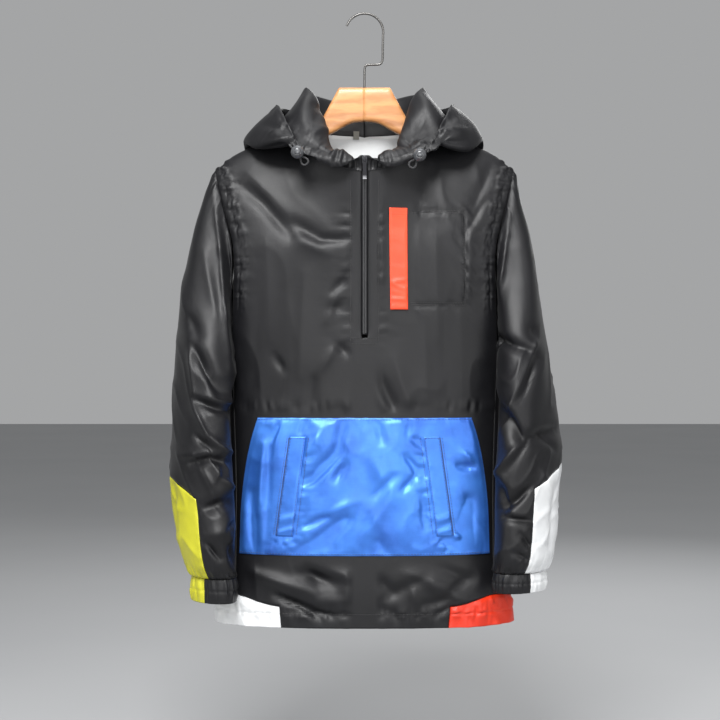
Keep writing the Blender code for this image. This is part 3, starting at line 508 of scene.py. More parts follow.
def top_point(part, share):
    """Points of a panel's top edge, along the neck and then the shoulder."""
    neck_share = NECK_SHARE[part]
    centre_y, centre_z = NECK_FRONT if part == "front" else NECK_BACK
    angle = math.pi / 2 * np.minimum(share / neck_share, 1)
    x = NECK_HALF * np.sin(angle)
    if part == "front":
        x = np.maximum(x, ZIP_SLOT_HALF)
    neck = np.stack([x, centre_y * np.cos(angle), NECK_SIDE_Z + (centre_z - NECK_SIDE_Z) * np.cos(angle)], -1)
    low = oval_point(YOKE_Z, panel_turn(part, YOKE_Z, share))[..., 0]
    first = oval_point(YOKE_Z, panel_turn(part, YOKE_Z, neck_share))[..., 0]
    last = oval_point(YOKE_Z, panel_turn(part, YOKE_Z, 1.0))[..., 0]
    x = mix(NECK_HALF, SHOULDER_X, (low - first) / (last - first))
    shoulder = np.stack([x, np.zeros_like(x), SHOULDER.at("z", x)], -1)
    return np.where((share <= neck_share)[..., None], neck, shoulder)


def yoke_point(part, share, rise):
    """Points between the yoke level (rise 0) and the panel's top edge (rise 1)."""
    share, rise = np.broadcast_arrays(np.asarray(share, float), np.asarray(rise, float))
    low = oval_point(YOKE_Z, panel_turn(part, YOKE_Z, share))
    top = top_point(part, share)
    lift = 1 - (1 - rise) ** 2
    closing = mix(1.0, 0.5, ease(share / NECK_SHARE[part]))
    y = top[..., 1] + (low[..., 1] - top[..., 1]) * (1 - lift) ** closing
    return np.stack([mix(low[..., 0], top[..., 0], lift), y, mix(low[..., 2], top[..., 2], lift)], -1)


def inset_height(share):
    """How high a hem inset reaches above the hem: its top edge peaks at the side seam."""
    return mix(29.0, 43.0, ease((share - 0.5) / 0.5))


# Rows of a body panel from the hem up: inset, lower body, body, chest and yoke
INSET_ROWS, JOIN_ROWS, BODY_ROWS, CHEST_ROWS, YOKE_ROWS = 12, 8, 110, 40, 60
JOIN_Z = -812.0
UNDERARM_ROW = INSET_ROWS + JOIN_ROWS + BODY_ROWS
PANEL_CELLS = {"front": 78, "back": 60}


def half_panel(part):
    """A body panel's smooth points on the side of +X, with rows from the hem up."""
    share = np.linspace(0, 1, PANEL_CELLS[part] + 1)
    rows = []
    for k in range(INSET_ROWS):
        rows.append(HEM_Z + inset_height(share) * k / INSET_ROWS)
    for k in range(JOIN_ROWS):
        rows.append(mix(HEM_Z + inset_height(share), JOIN_Z, k / JOIN_ROWS))
    for z in np.linspace(JOIN_Z, UNDERARM_Z, BODY_ROWS + 1)[:-1]:
        rows.append(np.full_like(share, z))
    for z in np.linspace(UNDERARM_Z, YOKE_Z, CHEST_ROWS + 1):
        rows.append(np.full_like(share, z))
    z = np.array(rows)
    levels = oval_point(z, panel_turn(part, z, share[None, :]))
    rise = np.arange(1, YOKE_ROWS + 1) / YOKE_ROWS
    yoke = np.array([yoke_point(part, share, step) for step in rise])
    ease_in = (ease(rise / 0.15) * ease((1 - rise) / 0.12))[:, None, None]
    for _ in range(40):
        between = (yoke[:, :-2] + yoke[:, 2:]) / 2
        yoke[:, 1:-1] = mix(yoke[:, 1:-1], between, 0.5 * ease_in)
    grid = np.concatenate([levels, yoke])
    near = np.abs(np.arange(len(grid)) - len(levels) + 1)
    share_in = (0.5 * ease((30 - near) / 12))[1:-1, None, None]
    for _ in range(40):
        grid[1:-1] = mix(grid[1:-1], (grid[:-2] + grid[2:]) / 2, share_in)
    return grid


def normals_of(grid):
    across, up = np.gradient(grid, axis=1), np.gradient(grid, axis=0)
    normals = np.cross(across, up)
    return normals / np.maximum(np.linalg.norm(normals, axis=2, keepdims=True), 1e-9)


def moved_out(grid, distance):
    """A grid's points moved along its own normals, out from the cloth."""
    distance = np.broadcast_to(distance, grid.shape[:2])
    return grid + normals_of(grid) * distance[..., None]


def from_edges(grid, top=True, bottom=True, sides=True):
    """How far each point lies from the grid's edges, in millimetres."""
    up, across = run_along(grid, 0), run_along(grid, 1)
    far = np.full(grid.shape[:2], 1e3)
    if bottom:
        far = np.minimum(far, up)
    if top:
        far = np.minimum(far, up[-1] - up)
    if sides:
        far = np.minimum(far, np.minimum(across, across[:, -1:] - across))
    return far


def seam_dip(far):
    return -SEAM_DIP["depth"] * np.exp(-far / SEAM_DIP["reach"])


# Making pieces


# What each piece of cloth is cut to, as its width and length in metres
FLAT = {
    "hood": (0.34, 0.42),
    "front": (0.52, 0.74),
    "back": (0.50, 0.74),
    "hem_patch": (0.17, 0.044),
    "sleeve": (0.34, 0.58),
    "sleeve_patch": (0.13, 0.15),
    "cuff": (0.24, 0.035),
    "cuff_patch": (0.08, 0.035),
    "pocket": (0.43, 0.20),
    "welt": (0.025, 0.142),
    "strip": (0.027, 0.145),
    "lining": (0.115, 0.105),
    "tab": (0.0101, 0.0121),
    "zip_tape": (0.028, 0.262),
}


def placed(name, data):
    """An object in the scene."""
    made = bpy.data.objects.new(name, data)
    bpy.context.scene.collection.objects.link(made)
    return made


def piece(name, data, finish, nodes=()):
    """An object that rides with the jacket, takes a finish and stands for the named solids."""
    look, slot = finish
    data.materials.append(look)
    made = placed(name, data)
    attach(made, JACKET)
    if nodes:
        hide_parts(*nodes)
    return made


def mesh_of(name, points, faces):
    """A smooth mesh over points in millimetres."""
    mesh = bpy.data.meshes.new(name)
    mesh.from_pydata((np.array(points) * MM).tolist(), [], faces)
    mesh.update()
    mesh.shade_smooth()
    return mesh


def cells_of(rows, columns, around=False):
    """The corners of every cell of a grid of points; around joins its last column to its first."""
    row = np.arange(rows - 1)[:, None] * columns
    here = np.arange(columns if around else columns - 1)[None, :]
    after = (here + 1) % columns
    return np.stack([row + here, row + after, row + after + columns, row + here + columns], axis=-1)


def sewn(name, grid, finish, nodes, around=False, keep=None, wall=CLOTH, trim=0.25):
    """A wall of cloth on a grid's chosen cells, drawn in from its edges so that neighbours stay apart."""
    cells = cells_of(*grid.shape[:2], around)
    cells = cells[np.ones(cells.shape[:2], bool) if keep is None else keep]
    used, corners = np.unique(cells, return_inverse=True)
    mesh = mesh_of(name, grid.reshape(-1, 3)[used], corners.reshape(cells.shape).tolist())
    sheet = bmesh.new()
    sheet.from_mesh(mesh)
    inward = {}
    for edge in sheet.edges:
        if len(edge.link_faces) != 1:
            continue
        along = (edge.verts[1].co - edge.verts[0].co).normalized()
        to_face = edge.link_faces[0].calc_center_median() - (edge.verts[0].co + edge.verts[1].co) / 2
        direction = (to_face - along * to_face.dot(along)).normalized()
        for vertex in edge.verts:
            inward.setdefault(vertex, []).append(direction)
    for vertex, directions in inward.items():
        vertex.co += sum(directions, Vector()) * (trim * MM / len(directions))
    sheet.to_mesh(mesh)
    area = sum(face.calc_area() for face in sheet.faces)
    sheet.free()
    made = piece(name, mesh, finish, nodes)
    step = made.modifiers.new("wall", "SOLIDIFY")
    step.thickness = wall * MM
    step.offset = 0.0


def skinned(name, rings):
    """A closed mesh skinned over rings of points in millimetres."""
    body = bmesh.new()
    loops = [[body.verts.new(Vector(p) * MM) for p in ring] for ring in rings]
    count = len(rings[0])
    for near, far in zip(loops, loops[1:]):
        for k in range(count):
            body.faces.new([near[k], near[(k + 1) % count], far[(k + 1) % count], far[k]])
    body.faces.new(list(reversed(loops[0])))
    body.faces.new(loops[-1])
    bmesh.ops.recalc_face_normals(body, faces=body.faces)
    mesh = bpy.data.meshes.new(name)
    body.to_mesh(mesh)
    body.free()
    mesh.shade_smooth()
    return mesh


def round_wire(name, points, diameter, finish, nodes=()):
    """A smooth wire or cord along points in millimetres, as one open curve."""
    curve = bpy.data.curves.new(name, "CURVE")
    curve.dimensions = "3D"
    curve.bevel_depth = diameter / 2 * MM
    curve.bevel_resolution = 5
    curve.use_fill_caps = True
    spline = curve.splines.new("POLY")
    spline.points.add(len(points) - 1)
    for spot, place in zip(spline.points, points):
        spot.co = (*(np.array(place) * MM), 1)
    return piece(name, curve, finish, nodes)


def smooth_route(stops, steps):
    """Points along a Catmull-Rom curve through the stops."""
    stops = np.array(stops, float)
    ends = np.vstack([2 * stops[0] - stops[1], stops, 2 * stops[-1] - stops[-2]])
    route = []
    for a, b, c, d in zip(ends, ends[1:], ends[2:], ends[3:]):
        for t in np.arange(steps) / steps:
            curve = 2 * b + (c - a) * t + (2 * a - 5 * b + 4 * c - d) * t**2
            route.append((curve + (3 * b - a - 3 * c + d) * t**3) / 2)
    route.append(stops[-1])
    return route


# The faces of one stitch: four rings of four points, closed at both ends
STITCH_FACES = [
    (4 * ring + k, 4 * ring + (k + 1) % 4, 4 * ring + 4 + (k + 1) % 4, 4 * ring + 4 + k)
    for ring in range(3)
    for k in range(4)
] + [(0, 3, 2, 1), (12, 13, 14, 15)]
STITCH_LIFTS = (-0.25, 0.2, 0.2, -0.25)
STITCH_HALVES = np.array([0.35, 0.5, 0.5, 0.35])


def stitches(name, routes, finish, pitch=3.2, length=2.3, thick=0.42):
    """Rows of sewn stitches, each a short thread that dips into the cloth at both ends."""
    points, faces = [], []
    for route, normals in routes:
        route, normals = np.array(route), np.array(normals)
        along = run_along(route)
        for start in np.arange(pitch / 2, along[-1] - length, pitch):
            at = np.array([start, start + length * 0.25, start + length * 0.75, start + length])
            middle = np.stack([np.interp(at, along, route[:, k]) for k in range(3)], -1)
            up = np.stack([np.interp(start + length / 2, along, normals[:, k]) for k in range(3)])
            up = up / np.linalg.norm(up)
            side = np.cross(middle[-1] - middle[0], up)
            side /= max(np.linalg.norm(side), 1e-9)
            faces += [tuple(len(points) + corner for corner in face) for face in STITCH_FACES]
            for spot, lift, half in zip(middle, STITCH_LIFTS, STITCH_HALVES * thick):
                centre = spot + up * lift
                points += [centre + side * half, centre + up * half, centre - side * half, centre - up * half]
    return piece(name, mesh_of(name, points, faces), finish)


class Surface:
    """A grid that stitches and trim are laid on, met by straight lines from the front."""

    def __init__(self, grid):
        faces = cells_of(*grid.shape[:2]).reshape(-1, 4)
        self.shell = BVHTree.FromPolygons(grid.reshape(-1, 3).tolist(), faces.tolist())

    def meet(self, x, z, out=0.0):
        """The place on the cloth behind (x, z), moved out by a distance, and the cloth's normal there."""
        place, normal, _, _ = self.shell.ray_cast(Vector((x, -300, z)), Vector((0, 1, 0)))
        if place is None:
            return None
        if normal.y > 0:
            normal = -normal
        return np.array(place) + np.array(normal) * out, np.array(normal)

    def nearest(self, point):
        """The place on the cloth closest to a point."""
        return np.array(self.shell.find_nearest(Vector(point))[0])

    def line(self, stops, out, step=1.5):
        """A route over the cloth through (x, z) stops, with its normals."""
        route, normals = [], []
        for (x0, z0), (x1, z1) in zip(stops, stops[1:]):
            count = max(2, int(math.hypot(x1 - x0, z1 - z0) / step))
            for k in range(count + 1):
                met = self.meet(mix(x0, x1, k / count), mix(z0, z1, k / count), out)
                if met:
                    route.append(met[0])
                    normals.append(met[1])
        return route, normals


# Drawcord loops: each leaves the hood, passes its cord lock twice and goes back into the hood

LOCKS = {
    "right": {"centre": (-93.0, -92.0, -213.0), "run": 52.0},
    "left": {"centre": (76.0, -92.0, -217.0), "run": 128.0},
}
BORE_BEHIND = 4.8
# A strand's route from the bore's middle, up to the end of the loop: along, across and back
LOOP = [
    (-12.0, 2.2, 1.6),
    (-8.5, 1.9, 0.2),
    (0.0, 1.9, 0.0),
    (8.5, 1.9, 0.0),
    (12.0, 3.6, -0.4),
    (15.8, 4.9, -1.0),
    (19.2, 3.7, -1.6),
    (20.6, 0.0, -1.8),
]
EYELET = {"along": -17.5, "across": 3.6, "off": 1.0, "straight": 4.0}
CORD_DIAMETER = 2.4


def lock_frame(side):
    centre = np.array(LOCKS[side]["centre"])
    run = math.radians(LOCKS[side]["run"])
    along = np.array([math.cos(run), 0, -math.sin(run)])
    across = np.array([math.sin(run), 0, math.cos(run)])
    return centre, along, across


def strand_end(hood, place):
    """Where a strand meets the hood near a place, standing square on the cloth."""
    meeting = hood.nearest(place)
    out = (place - meeting) / np.linalg.norm(place - meeting)
    return [meeting + out * off for off in (EYELET["off"], EYELET["off"] + EYELET["straight"])]


def make_loop(side, hood):
    centre, along, across = lock_frame(side)
    bore = centre + np.array([0, BORE_BEHIND, 0])
    route = LOOP + [(a, -c, b) for a, c, b in LOOP[-2::-1]]
    stops = [bore + along * a + across * c + np.array([0, b, 0]) for a, c, b in route]
    leaving = bore + along * EYELET["along"]
    stops = strand_end(hood, leaving + across * EYELET["across"]) + stops
    stops += strand_end(hood, leaving - across * EYELET["across"])[::-1]
    points = smooth_route(stops, 4)
    loop = round_wire(f"drawcord_{side}", points, CORD_DIAMETER, BRAID, [f"cord_loop_{side}"])
    tuple(points[0] * MM)


# Hood

HOOD = Table(
    "share"
    " stand_x stand_y stand_z roll_x roll_y roll_z fall_x fall_y fall_z"
    " turn_x turn_y turn_z outer_x outer_y outer_z edge_x edge_y edge_z",
    [
        (0.00, 4, -67, -230, 4, -68, -226, 4, -69, -222, 4, -70, -219, 4, -71, -216, 4, -71, -213),
        (0.12, 28, -63, -220, 29, -67, -208, 31, -73, -209, 33, -78, -216, 34, -80, -221, 32, -78, -225),
        (0.25, 50, -50, -206, 46, -57, -199, 54, -68, -203, 62, -78, -212, 65, -81, -218, 64, -78, -222),
        (0.36, 65, -32, -180, 62, -26, -150, 74, -50, -170, 89, -72, -200, 96, -79, -208, 92, -78, -199),
        (0.45, 73, -12, -152, 72, -8, -117, 89, -32, -134, 118, -62, -203, 122, -70, -188, 108, -62, -168),
        (0.54, 80, 2, -142, 84, 5, -104, 102, -6, -132, 150, -40, -203, 145, -48, -176, 122, -30, -138),
        (0.63, 78, 18, -142, 84, 26, -110, 106, 26, -138, 170, 4, -190, 162, -8, -168, 128, 4, -132),
        (0.75, 62, 34, -144, 66, 46, -112, 88, 62, -165, 138, 76, -305, 142, 98, -230, 108, 66, -126),
        (0.88, 34, 44, -147, 36, 56, -116, 46, 76, -180, 78, 98, -352, 84, 126, -275, 60, 98, -119),
        (1.00, 0.2, 46, -149, 0.2, 58, -118, 0.2, 78, -185, 0.2, 104, -364, 0.2, 132, -290, 0.2, 105, -116),
    ],
)
# Folds on the front of the hood, as on the body
HOOD_FRONT_FOLDS = {
    "right": [
        (-73, -198, -52, -207, 3, 3),
        (-84, -193, -51, -210, -3, 3),
        (-102, -198, -158, -204, 4, 5),
        (-100, -190, -142, -196, -4, 5),
        (-108, -180, -142, -165, 4, 6),
        (-114, -168, -132, -182, -3, 5),
        (-96, -186, -118, -150, 4, 4),
        (-88, -184, -104, -150, -4, 4),
        (-50, -150, -70, -138, -4, 8),
        (-46, -176, -78, -172, 3, 6),
        (-62, -178, -80, -186, 2.5, 4),
        (-60, -130, -52, -176, 3, 6),
    ],
    "left": [
        (86, -156, 62, -194, -5, 8),
        (66, -205, 96, -188, 4, 4),
        (94, -190, 126, -156, 4, 4),
        (62, -196, 86, -182, -3, 4),
        (98, -206, 150, -205, -4, 5),
        (96, -197, 142, -194, 4, 6),
        (112, -178, 146, -176, -3, 5),
        (104, -196, 128, -178, 2.5, 4),
        (48, -150, 40, -186, 3, 8),
        (34, -196, 56, -204, -2.5, 3),
    ],
}
HOOD_GUIDES = ("stand", "roll", "fall", "turn", "outer", "edge")
HOOD_STATIONS, HOOD_STEPS = 210, 9
HOOD_SEED = {"left": 40, "right": 60}
CHANNEL = {"width": 11.0, "depth": 0.8}  # the drawcord's channel along the hood's open edge


def neck_seam(share):
    """The hood's seam on the neck edge from the zip (0) to the centre back (1), on +X."""
    front = top_point("front", np.arange(5) / 13)
    back = top_point("back", np.arange(4)[::-1] / 12)
    corners = np.concatenate([front, back])
    at = np.linspace(0, 1, len(corners))
    x, y, z = (np.interp(share, at, corners[:, axis]) for axis in range(3))
    return np.stack([np.maximum(x - 1.6 * np.sin(math.pi * share), 0.2), y - 0.5, z - 1.2], -1)


def hood_grid(side):
    """The hood half's points: stations from the zip to the centre back, each from neck seam to edge."""
    share = np.linspace(0, 1, HOOD_STATIONS + 1) ** 1.3
    stops = [neck_seam(share)]
    for guide in HOOD_GUIDES:
        stops.append(np.stack([HOOD.at(f"{guide}_{axis}", share) for axis in "xyz"], -1))
    stops = np.array(stops)
    slopes = np.gradient(stops, axis=0)
    slopes[1 + HOOD_GUIDES.index("turn"), :, 2] *= 1 - ease(share / 0.3)
    lines = []
    for k in range(len(stops) - 1):
        for t in np.arange(HOOD_STEPS) / HOOD_STEPS:
            lines.append(bend(stops[k], stops[k + 1], slopes[k], slopes[k + 1], t))
    grid = np.stack(lines + [stops[-1]], axis=1)
    height = run_along(grid, 1)
    run = run_along(grid[:, 2 * HOOD_STEPS])[:, None]
    share, seed = share[:, None], HOOD_SEED[side]
    to_edge = height[:, -1:] - height
    middle = ease((share - 0.16) / 0.12) * ease((1 - share) / 0.06)
    grid[..., 2] -= 6.0 * hump(share, 0.13, 0.09) * ease(1 - to_edge / 24)
    swell = ripple(run / 42, height / 60, seed) * 2.6 * middle * ease(height / 26) * ease(to_edge / 20)
    creases = crease(run / 26 + height / 70, height / 55, seed + 1) * 1.3 * middle * ease(height / 20)
    gathers = ripple(run / 4.0, height / 60, seed + 2) * 1.9 * ease((0.33 - share) / 0.16)
    gathers = gathers * ease(height / 5) * ease(share / 0.03)
    channel = -CHANNEL["depth"] * hump(to_edge, CHANNEL["width"], 1.6) * ease((share - 0.2) / 0.1)
    rucks = ripple(run / 6, to_edge / 14, seed + 3) * 1.9 * np.exp(-to_edge / 16) * middle
    dip = -0.7 * np.exp(-height / 3)
    back_seam = -0.7 * np.exp(-(1 - share) * 240 / 3)
    across = grid[..., 0] * (1 if side == "left" else -1)
    folds = folds_at(HOOD_FRONT_FOLDS[side], across, grid[..., 2]) * ease((12 - grid[..., 1]) / 20)
    folds = folds * ease(height / 20) * ease(to_edge / 5 + 0.3) * ease((share - 0.08) / 0.1)
    grid = moved_out(grid, swell + creases * 0.5 + gathers + channel + rucks + dip + back_seam + folds)
    grid[:, :, 0] = np.maximum(grid[:, :, 0], 0.2)
    grid[-1, :, 0] = -0.3
    return grid if side == "left" else (grid * (-1, 1, 1))[:, ::-1]


# Body panels and hem insets

PANEL_SEED = {"front": 5, "back": 6}
ARM_STITCH = 13.0  # a stitched line beside the armhole
PLACKET = {"half": 19.0, "stitch": 19.5, "stitch_top_z": -246.0, "stitch_end_z": -478.0, "bar_z": -470.0}
CHEST_OUTLINE = {"near": 60.0, "far": 142.0, "top_z": -290.0, "bottom_z": -424.0}


def under_pieces(x, z):
    """1 where the pocket or the chest strip lies on the front, fading out around them."""
    pocket = ease((-556 - z) / 24) * ease((z + 802) / 24)
    strip = ease((x - 22) / 10) * ease((78 - x) / 10) * ease((-268 - z) / 16) * ease((z + 450) / 16)
    return np.maximum(pocket, strip)


def body_folds(part, grid):
    """How far each point of a body panel stands out from its smooth form."""
    x, z = grid[..., 0], grid[..., 2]
    far_side = from_edges(grid, top=False, bottom=False)
    far_hem = z - HEM_Z
    seed = PANEL_SEED[part]
    soft = ripple(x / 70 + 3, z / 120, seed) * 1.6
    soft = soft + crease(x / 44, z / 90 + x / 160, seed + 2) * 1.4
    out = folds_at(FRONT_FOLDS if part == "front" else BACK_FOLDS, x, z)
    out = (out + soft) * ease((-196 - z) / 50) * ease(far_side / 26)
    # Beside the armhole
    arm = ease((z + 452) / 50)
    stitched = puckers(z, far_side - ARM_STITCH, 3.8, 8.0, 3.2, 11) - 1.2 * hump(far_side, ARM_STITCH, 2.0)
    out = out + arm * stitched
    out = out + arm * crease(z / 6 + far_side / 14, far_side / 9, 12) * 2.2 * hump(far_side, 17, 9)
    # Along the hem
    off_stitch = far_hem - HEM_STITCH
    out = out + puckers(x, off_stitch, 6.0, 10.0, 2.2, 13) * ease(1 - np.abs(off_stitch) / 34)
    out = out + ripple(x / 9, z / 14, 15) * 0.5 * hump(far_hem, 10, 9)
    if part == "front":
        out = front_work(x, z, out)
    ahead = normals_of(grid)[..., 1] ** 2
    return out + seam_dip(far_side) - 3.0 * arm * ahead * np.exp(-far_side / 5)


def front_work(x, z, out):
    """A front panel's folds with those that the placket, the pocket and the chest outline make."""
    # Beside the placket, round the zip's end and over the placket's own cloth
    off_placket = np.abs(x) - PLACKET["half"]
    beside = ease((z + 486) / 20) * ease((-262 - z) / 60)
    out = out + puckers(z, off_placket, 6.0, 12.0, 2.4, 17) * beside * ease(off_placket / 2)
    end = np.hypot(x, z - ZIP_END_Z + 4)
    around = np.degrees(np.arctan2(z - ZIP_END_Z, x))
    out = out + ripple(around / 17, end / 60, 19) * 2.6 * hump(end, 17, 13) * ease((ZIP_END_Z + 18 - z) / 16)
    out = out + 0.9 * ease((PLACKET["half"] - np.abs(x)) / 1.2) * ease((z - ZIP_END_Z + 8) / 3)
    # Above the pocket
    out = out + 3.0 * hump(z, -570, 9) * ripple(x / 6, 0, 23)
    # The outline stitched on the chest
    edges = CHEST_OUTLINE
    inside = [x - edges["near"], edges["far"] - x, z - edges["bottom_z"], edges["top_z"] - z]
    chest = np.minimum.reduce(inside)
    out = out - 1.6 * hump(chest, 0, 2.4) + puckers(x + z, chest, 5.0, 8.0, 2.2, 29)
    # The placket's stitched lines
    line = hump(np.abs(x), PLACKET["stitch"], 2.2) * ease((-240 - z) / 10) * ease((z + 482) / 4)
    out = out - 0.9 * line - 0.8 * hump(z, -474, 2.4) * ease((21 - np.abs(x)) / 2)
    calm = np.maximum((1 - under_pieces(x, z)) * ease(off_placket / 10 + 0.35), 0.0)
    slot = ease((z - ZIP_END_Z) / 6)
    return out * calm - 1.3 * slot * np.exp(-(np.abs(x) - ZIP_SLOT_HALF) / 2.5)


def inset_cells(part):
    """How many cells of a panel's hem each inset takes, in from the side seam."""
    return PANEL_CELLS[part] - round(INSET_SHARE[part] * PANEL_CELLS[part])


def make_panels():
    grids = {}
    for part in ("front", "back"):
        half = half_panel(part)
        other = half * (-1, 1, 1)
        if part == "front":
            grid = np.concatenate([other[:, ::-1], half], axis=1)
        else:
            grid = np.concatenate([half[:, ::-1], other[:, 1:]], axis=1)
        grid = grids[part] = moved_out(grid, body_folds(part, grid))
        keep = np.ones((grid.shape[0] - 1, grid.shape[1] - 1), bool)
        keep[:INSET_ROWS, : inset_cells(part)] = False
        keep[:INSET_ROWS, -inset_cells(part) :] = False
        if part == "front":
            keep[UNDERARM_ROW + 3 :, PANEL_CELLS[part]] = False
        sewn(f"{part}_body", grid, BLACK, [f"{part}_panel"], keep=keep)
    return grids


def make_hem_insets(front, back):
    rows = slice(0, INSET_ROWS + 1)
    front_cells, back_cells = inset_cells("front"), inset_cells("back")
    strips = {
        "right": [back[rows, -1 - back_cells :], front[rows, 1 : front_cells + 1]],
        "left": [front[rows, -1 - front_cells :], back[rows, 1 : back_cells + 1]],
    }
    for side, finish in (("right", WHITE), ("left", ORANGE)):
        strip = np.concatenate(strips[side], axis=1)
        fine = np.linspace(0, INSET_ROWS, 25)
        low = np.floor(fine).astype(int).clip(0, INSET_ROWS - 1)
        grid = mix(strip[low], strip[low + 1], (fine - low)[:, None, None])
        z = grid[..., 2]
        run = run_along(grid[0])[None, :]
        far = from_edges(grid, bottom=False)
        wave = ripple(run / 15, z / 26, 31) * 1.8 + crease(run / 13 + z / 22, z / 30, 33) * 2.4
        out = wave * ease(far / 7) + seam_dip(far) - 1.2 * hump(z - HEM_Z, 19, 1.6)
        nodes = [f"hem_inset_{side}"]
        sewn(f"hem_patch_{side}", moved_out(grid, out), finish, nodes, trim=0.1)


# Sleeves and cuffs

SLEEVE_COLUMNS = "z outer inner middle_y half_depth lean"
SLEEVES = {
    "left": Table(
        SLEEVE_COLUMNS,
        [
            (-228, 218, 208, 0, 14, 0),
            (-271, 225, 204, -2, 30, 4),
            (-328, 239, 200, -4, 44, 8),
            (-386, 249, 194, -6, 52, 13),
            (-443, 259, 192, -15, 57, 26),
            (-500, 268, 190, -24, 60, 33),
            (-558, 275, 188, -32, 60, 35),
            (-616, 281, 185, -39, 58, 34),
            (-659, 281, 182, -45, 56, 32),
            (-703, 277, 181, -48, 54, 27),
            (-754, 271, 180, -57, 48, 24),
            (-780, 266, 179, -61, 42, 20),
            (-796, 257, 178, -62, 33, 15),
        ],
    ),
    "right": Table(
        SLEEVE_COLUMNS,
        [
            (-228, 218, 208, 0, 14, 0),
            (-271, 234, 206, -2, 30, 4),
            (-328, 250, 201, -4, 44, 8),
            (-386, 261, 196, -6, 52, 13),
            (-443, 269, 194, -15, 57, 26),
            (-500, 273, 192, -24, 60, 33),
            (-558, 276, 189, -32, 60, 35),
            (-616, 278, 186, -39, 58, 34),
            (-665, 278, 183, -45, 56, 32),
            (-720, 270, 180, -50, 54, 27),
            (-771, 259, 180, -59, 47, 23),
            (-792, 252, 179, -62, 40, 18),
            (-803, 246, 178, -63, 33, 14),
        ],
    ),
}
CUFF_TOP = {"left": -796.0, "right": -803.0}
CUFF_BOTTOM = {"left": -824.0, "right": -838.0}
INSET_OUTER_Z = {"left": -648.0, "right": -664.0}
SLEEVE_UPPER_ROWS, SLEEVE_LOWER_ROWS = 92, 40
SLEEVE_INSET_SHARE = (-0.1, 0.24)  # of the way round, from the outermost line
ARMHOLE_STEP = 1.2
SLEEVE_LENGTH = 570.0
SLEEVE_SEED = {"left": 70, "right": 90}

# Folds on the sleeve's front, in distance from the centre line and height
SLEEVE_FRONT_FOLDS = {
    "right": [
        (238, -483, 198, -545, -8, 8),
        (245, -484, 236, -553, 4, 5),
        (232, -555, 188, -573, -7, 7),
        (236, -548, 190, -560, 4, 5),
        (238, -563, 218, -605, 6, 5),
        (218, -605, 189, -628, 6, 5),
        (232, -605, 210, -622, -7, 6),
        (239, -642, 211, -635, -7, 6),
        (211, -635, 189, -642, -6, 6),
        (258, -634, 203, -628, 4, 7),
        (221, -653, 207, -678, 3, 5),
        (200, -650, 207, -667, 3, 4),
        (192, -667, 178, -685, 4, 4),
        (221, -706, 180, -695, -8, 9),
        (215, -742, 185, -730, 6, 14),
        (192, -733, 182, -723, -4, 3),
        (217, -750, 198, -772, -5, 5),
        (184, -757, 180, -784, -5, 4),
        (262, -380, 246, -470, 3, 9),
        (252, -436, 230, -468, -5, 9),
        (216, -238, 203, -349, 5, 4),
        (204, -340, 196, -440, 5, 4),
        (197, -425, 190, -520, 5, 4),
        (190, -505, 189, -567, 4, 4),
        (205, -262, 192, -380, -5, 7),
        (193, -360, 184, -470, -5, 7),
        (184, -450, 178, -560, -5, 7),
        (227, -350, 208, -440, 3, 8),
        (276, -688, 264, -778, 3, 4),
        (269, -676, 262, -744, -3, 4),
        (262, -700, 256, -784, 2, 4),
    ],
    "left": [
        (211, -238, 201, -321, 6, 4),
        (201, -321, 192, -390, 6, 4),
        (193, -375, 181, -459, 6, 4),
        (200, -262, 190, -340, -6, 7),
        (190, -330, 180, -420, -6, 7),
        (246, -655, 262, -690, 3, 6),
        (268, -680, 258, -760, -2.5, 5),
        (180, -466, 203, -480, -8, 7),
        (203, -480, 236, -490, -6, 8),
        (234, -455, 238, -466, -4, 7),
        (240, -473, 235, -490, 4, 5),
        (239, -501, 210, -556, -8, 8),
        (233, -494, 203, -563, 6, 6),
        (183, -563, 215, -611, -8, 9),
        (185, -521, 187, -556, 4, 5),
        (218, -611, 187, -653, 7, 6),
        (187, -653, 176, -681, 5, 6),
        (222, -613, 194, -653, -5, 6),
        (215, -611, 270, -600, -7, 9),
        (243, -605, 267, -625, -3, 4),
        (183, -667, 191, -702, -6, 6),
        (187, -708, 229, -674, -7, 7),
        (191, -718, 229, -722, -5, 5),
        (214, -740, 229, -760, -4, 4),
        (205, -765, 225, -775, -4, 4),
        (232, -260, 236, -420, 1.5, 12),
    ],
}
# Folds on the sleeve's back, as millimetres round it from the outermost line and height
SLEEVE_BACK_FOLDS = [
    (241, -520, 305, -575, 7, 13),
    (325, -470, 262, -440, -6, 12),
    (231, -640, 315, -660, 6, 12),
    (305, -700, 241, -735, -5, 11),
    (300, -380, 330, -470, 3, 12),
]


def sleeve_section(table, z, angle):
    outer, inner = table.at("outer", z), table.at("inner", z)
    sine, cosine = np.sin(np.radians(angle)), np.cos(np.radians(angle))
    x = (outer + inner) / 2 + (outer - inner) / 2 * cosine
    y = table.at("middle_y", z) - table.at("half_depth", z) * sine + table.at("lean", z) * cosine
    return np.stack(np.broadcast_arrays(x, y, z), -1)


def armhole_loop():
    """The armhole of +X from the shoulder tip down the front edge and up the back edge."""
    front = half_panel("front")[UNDERARM_ROW:, -1]
    back = half_panel("back")[UNDERARM_ROW:, -1]
    return np.concatenate([front[::-1], back[1:-1]])


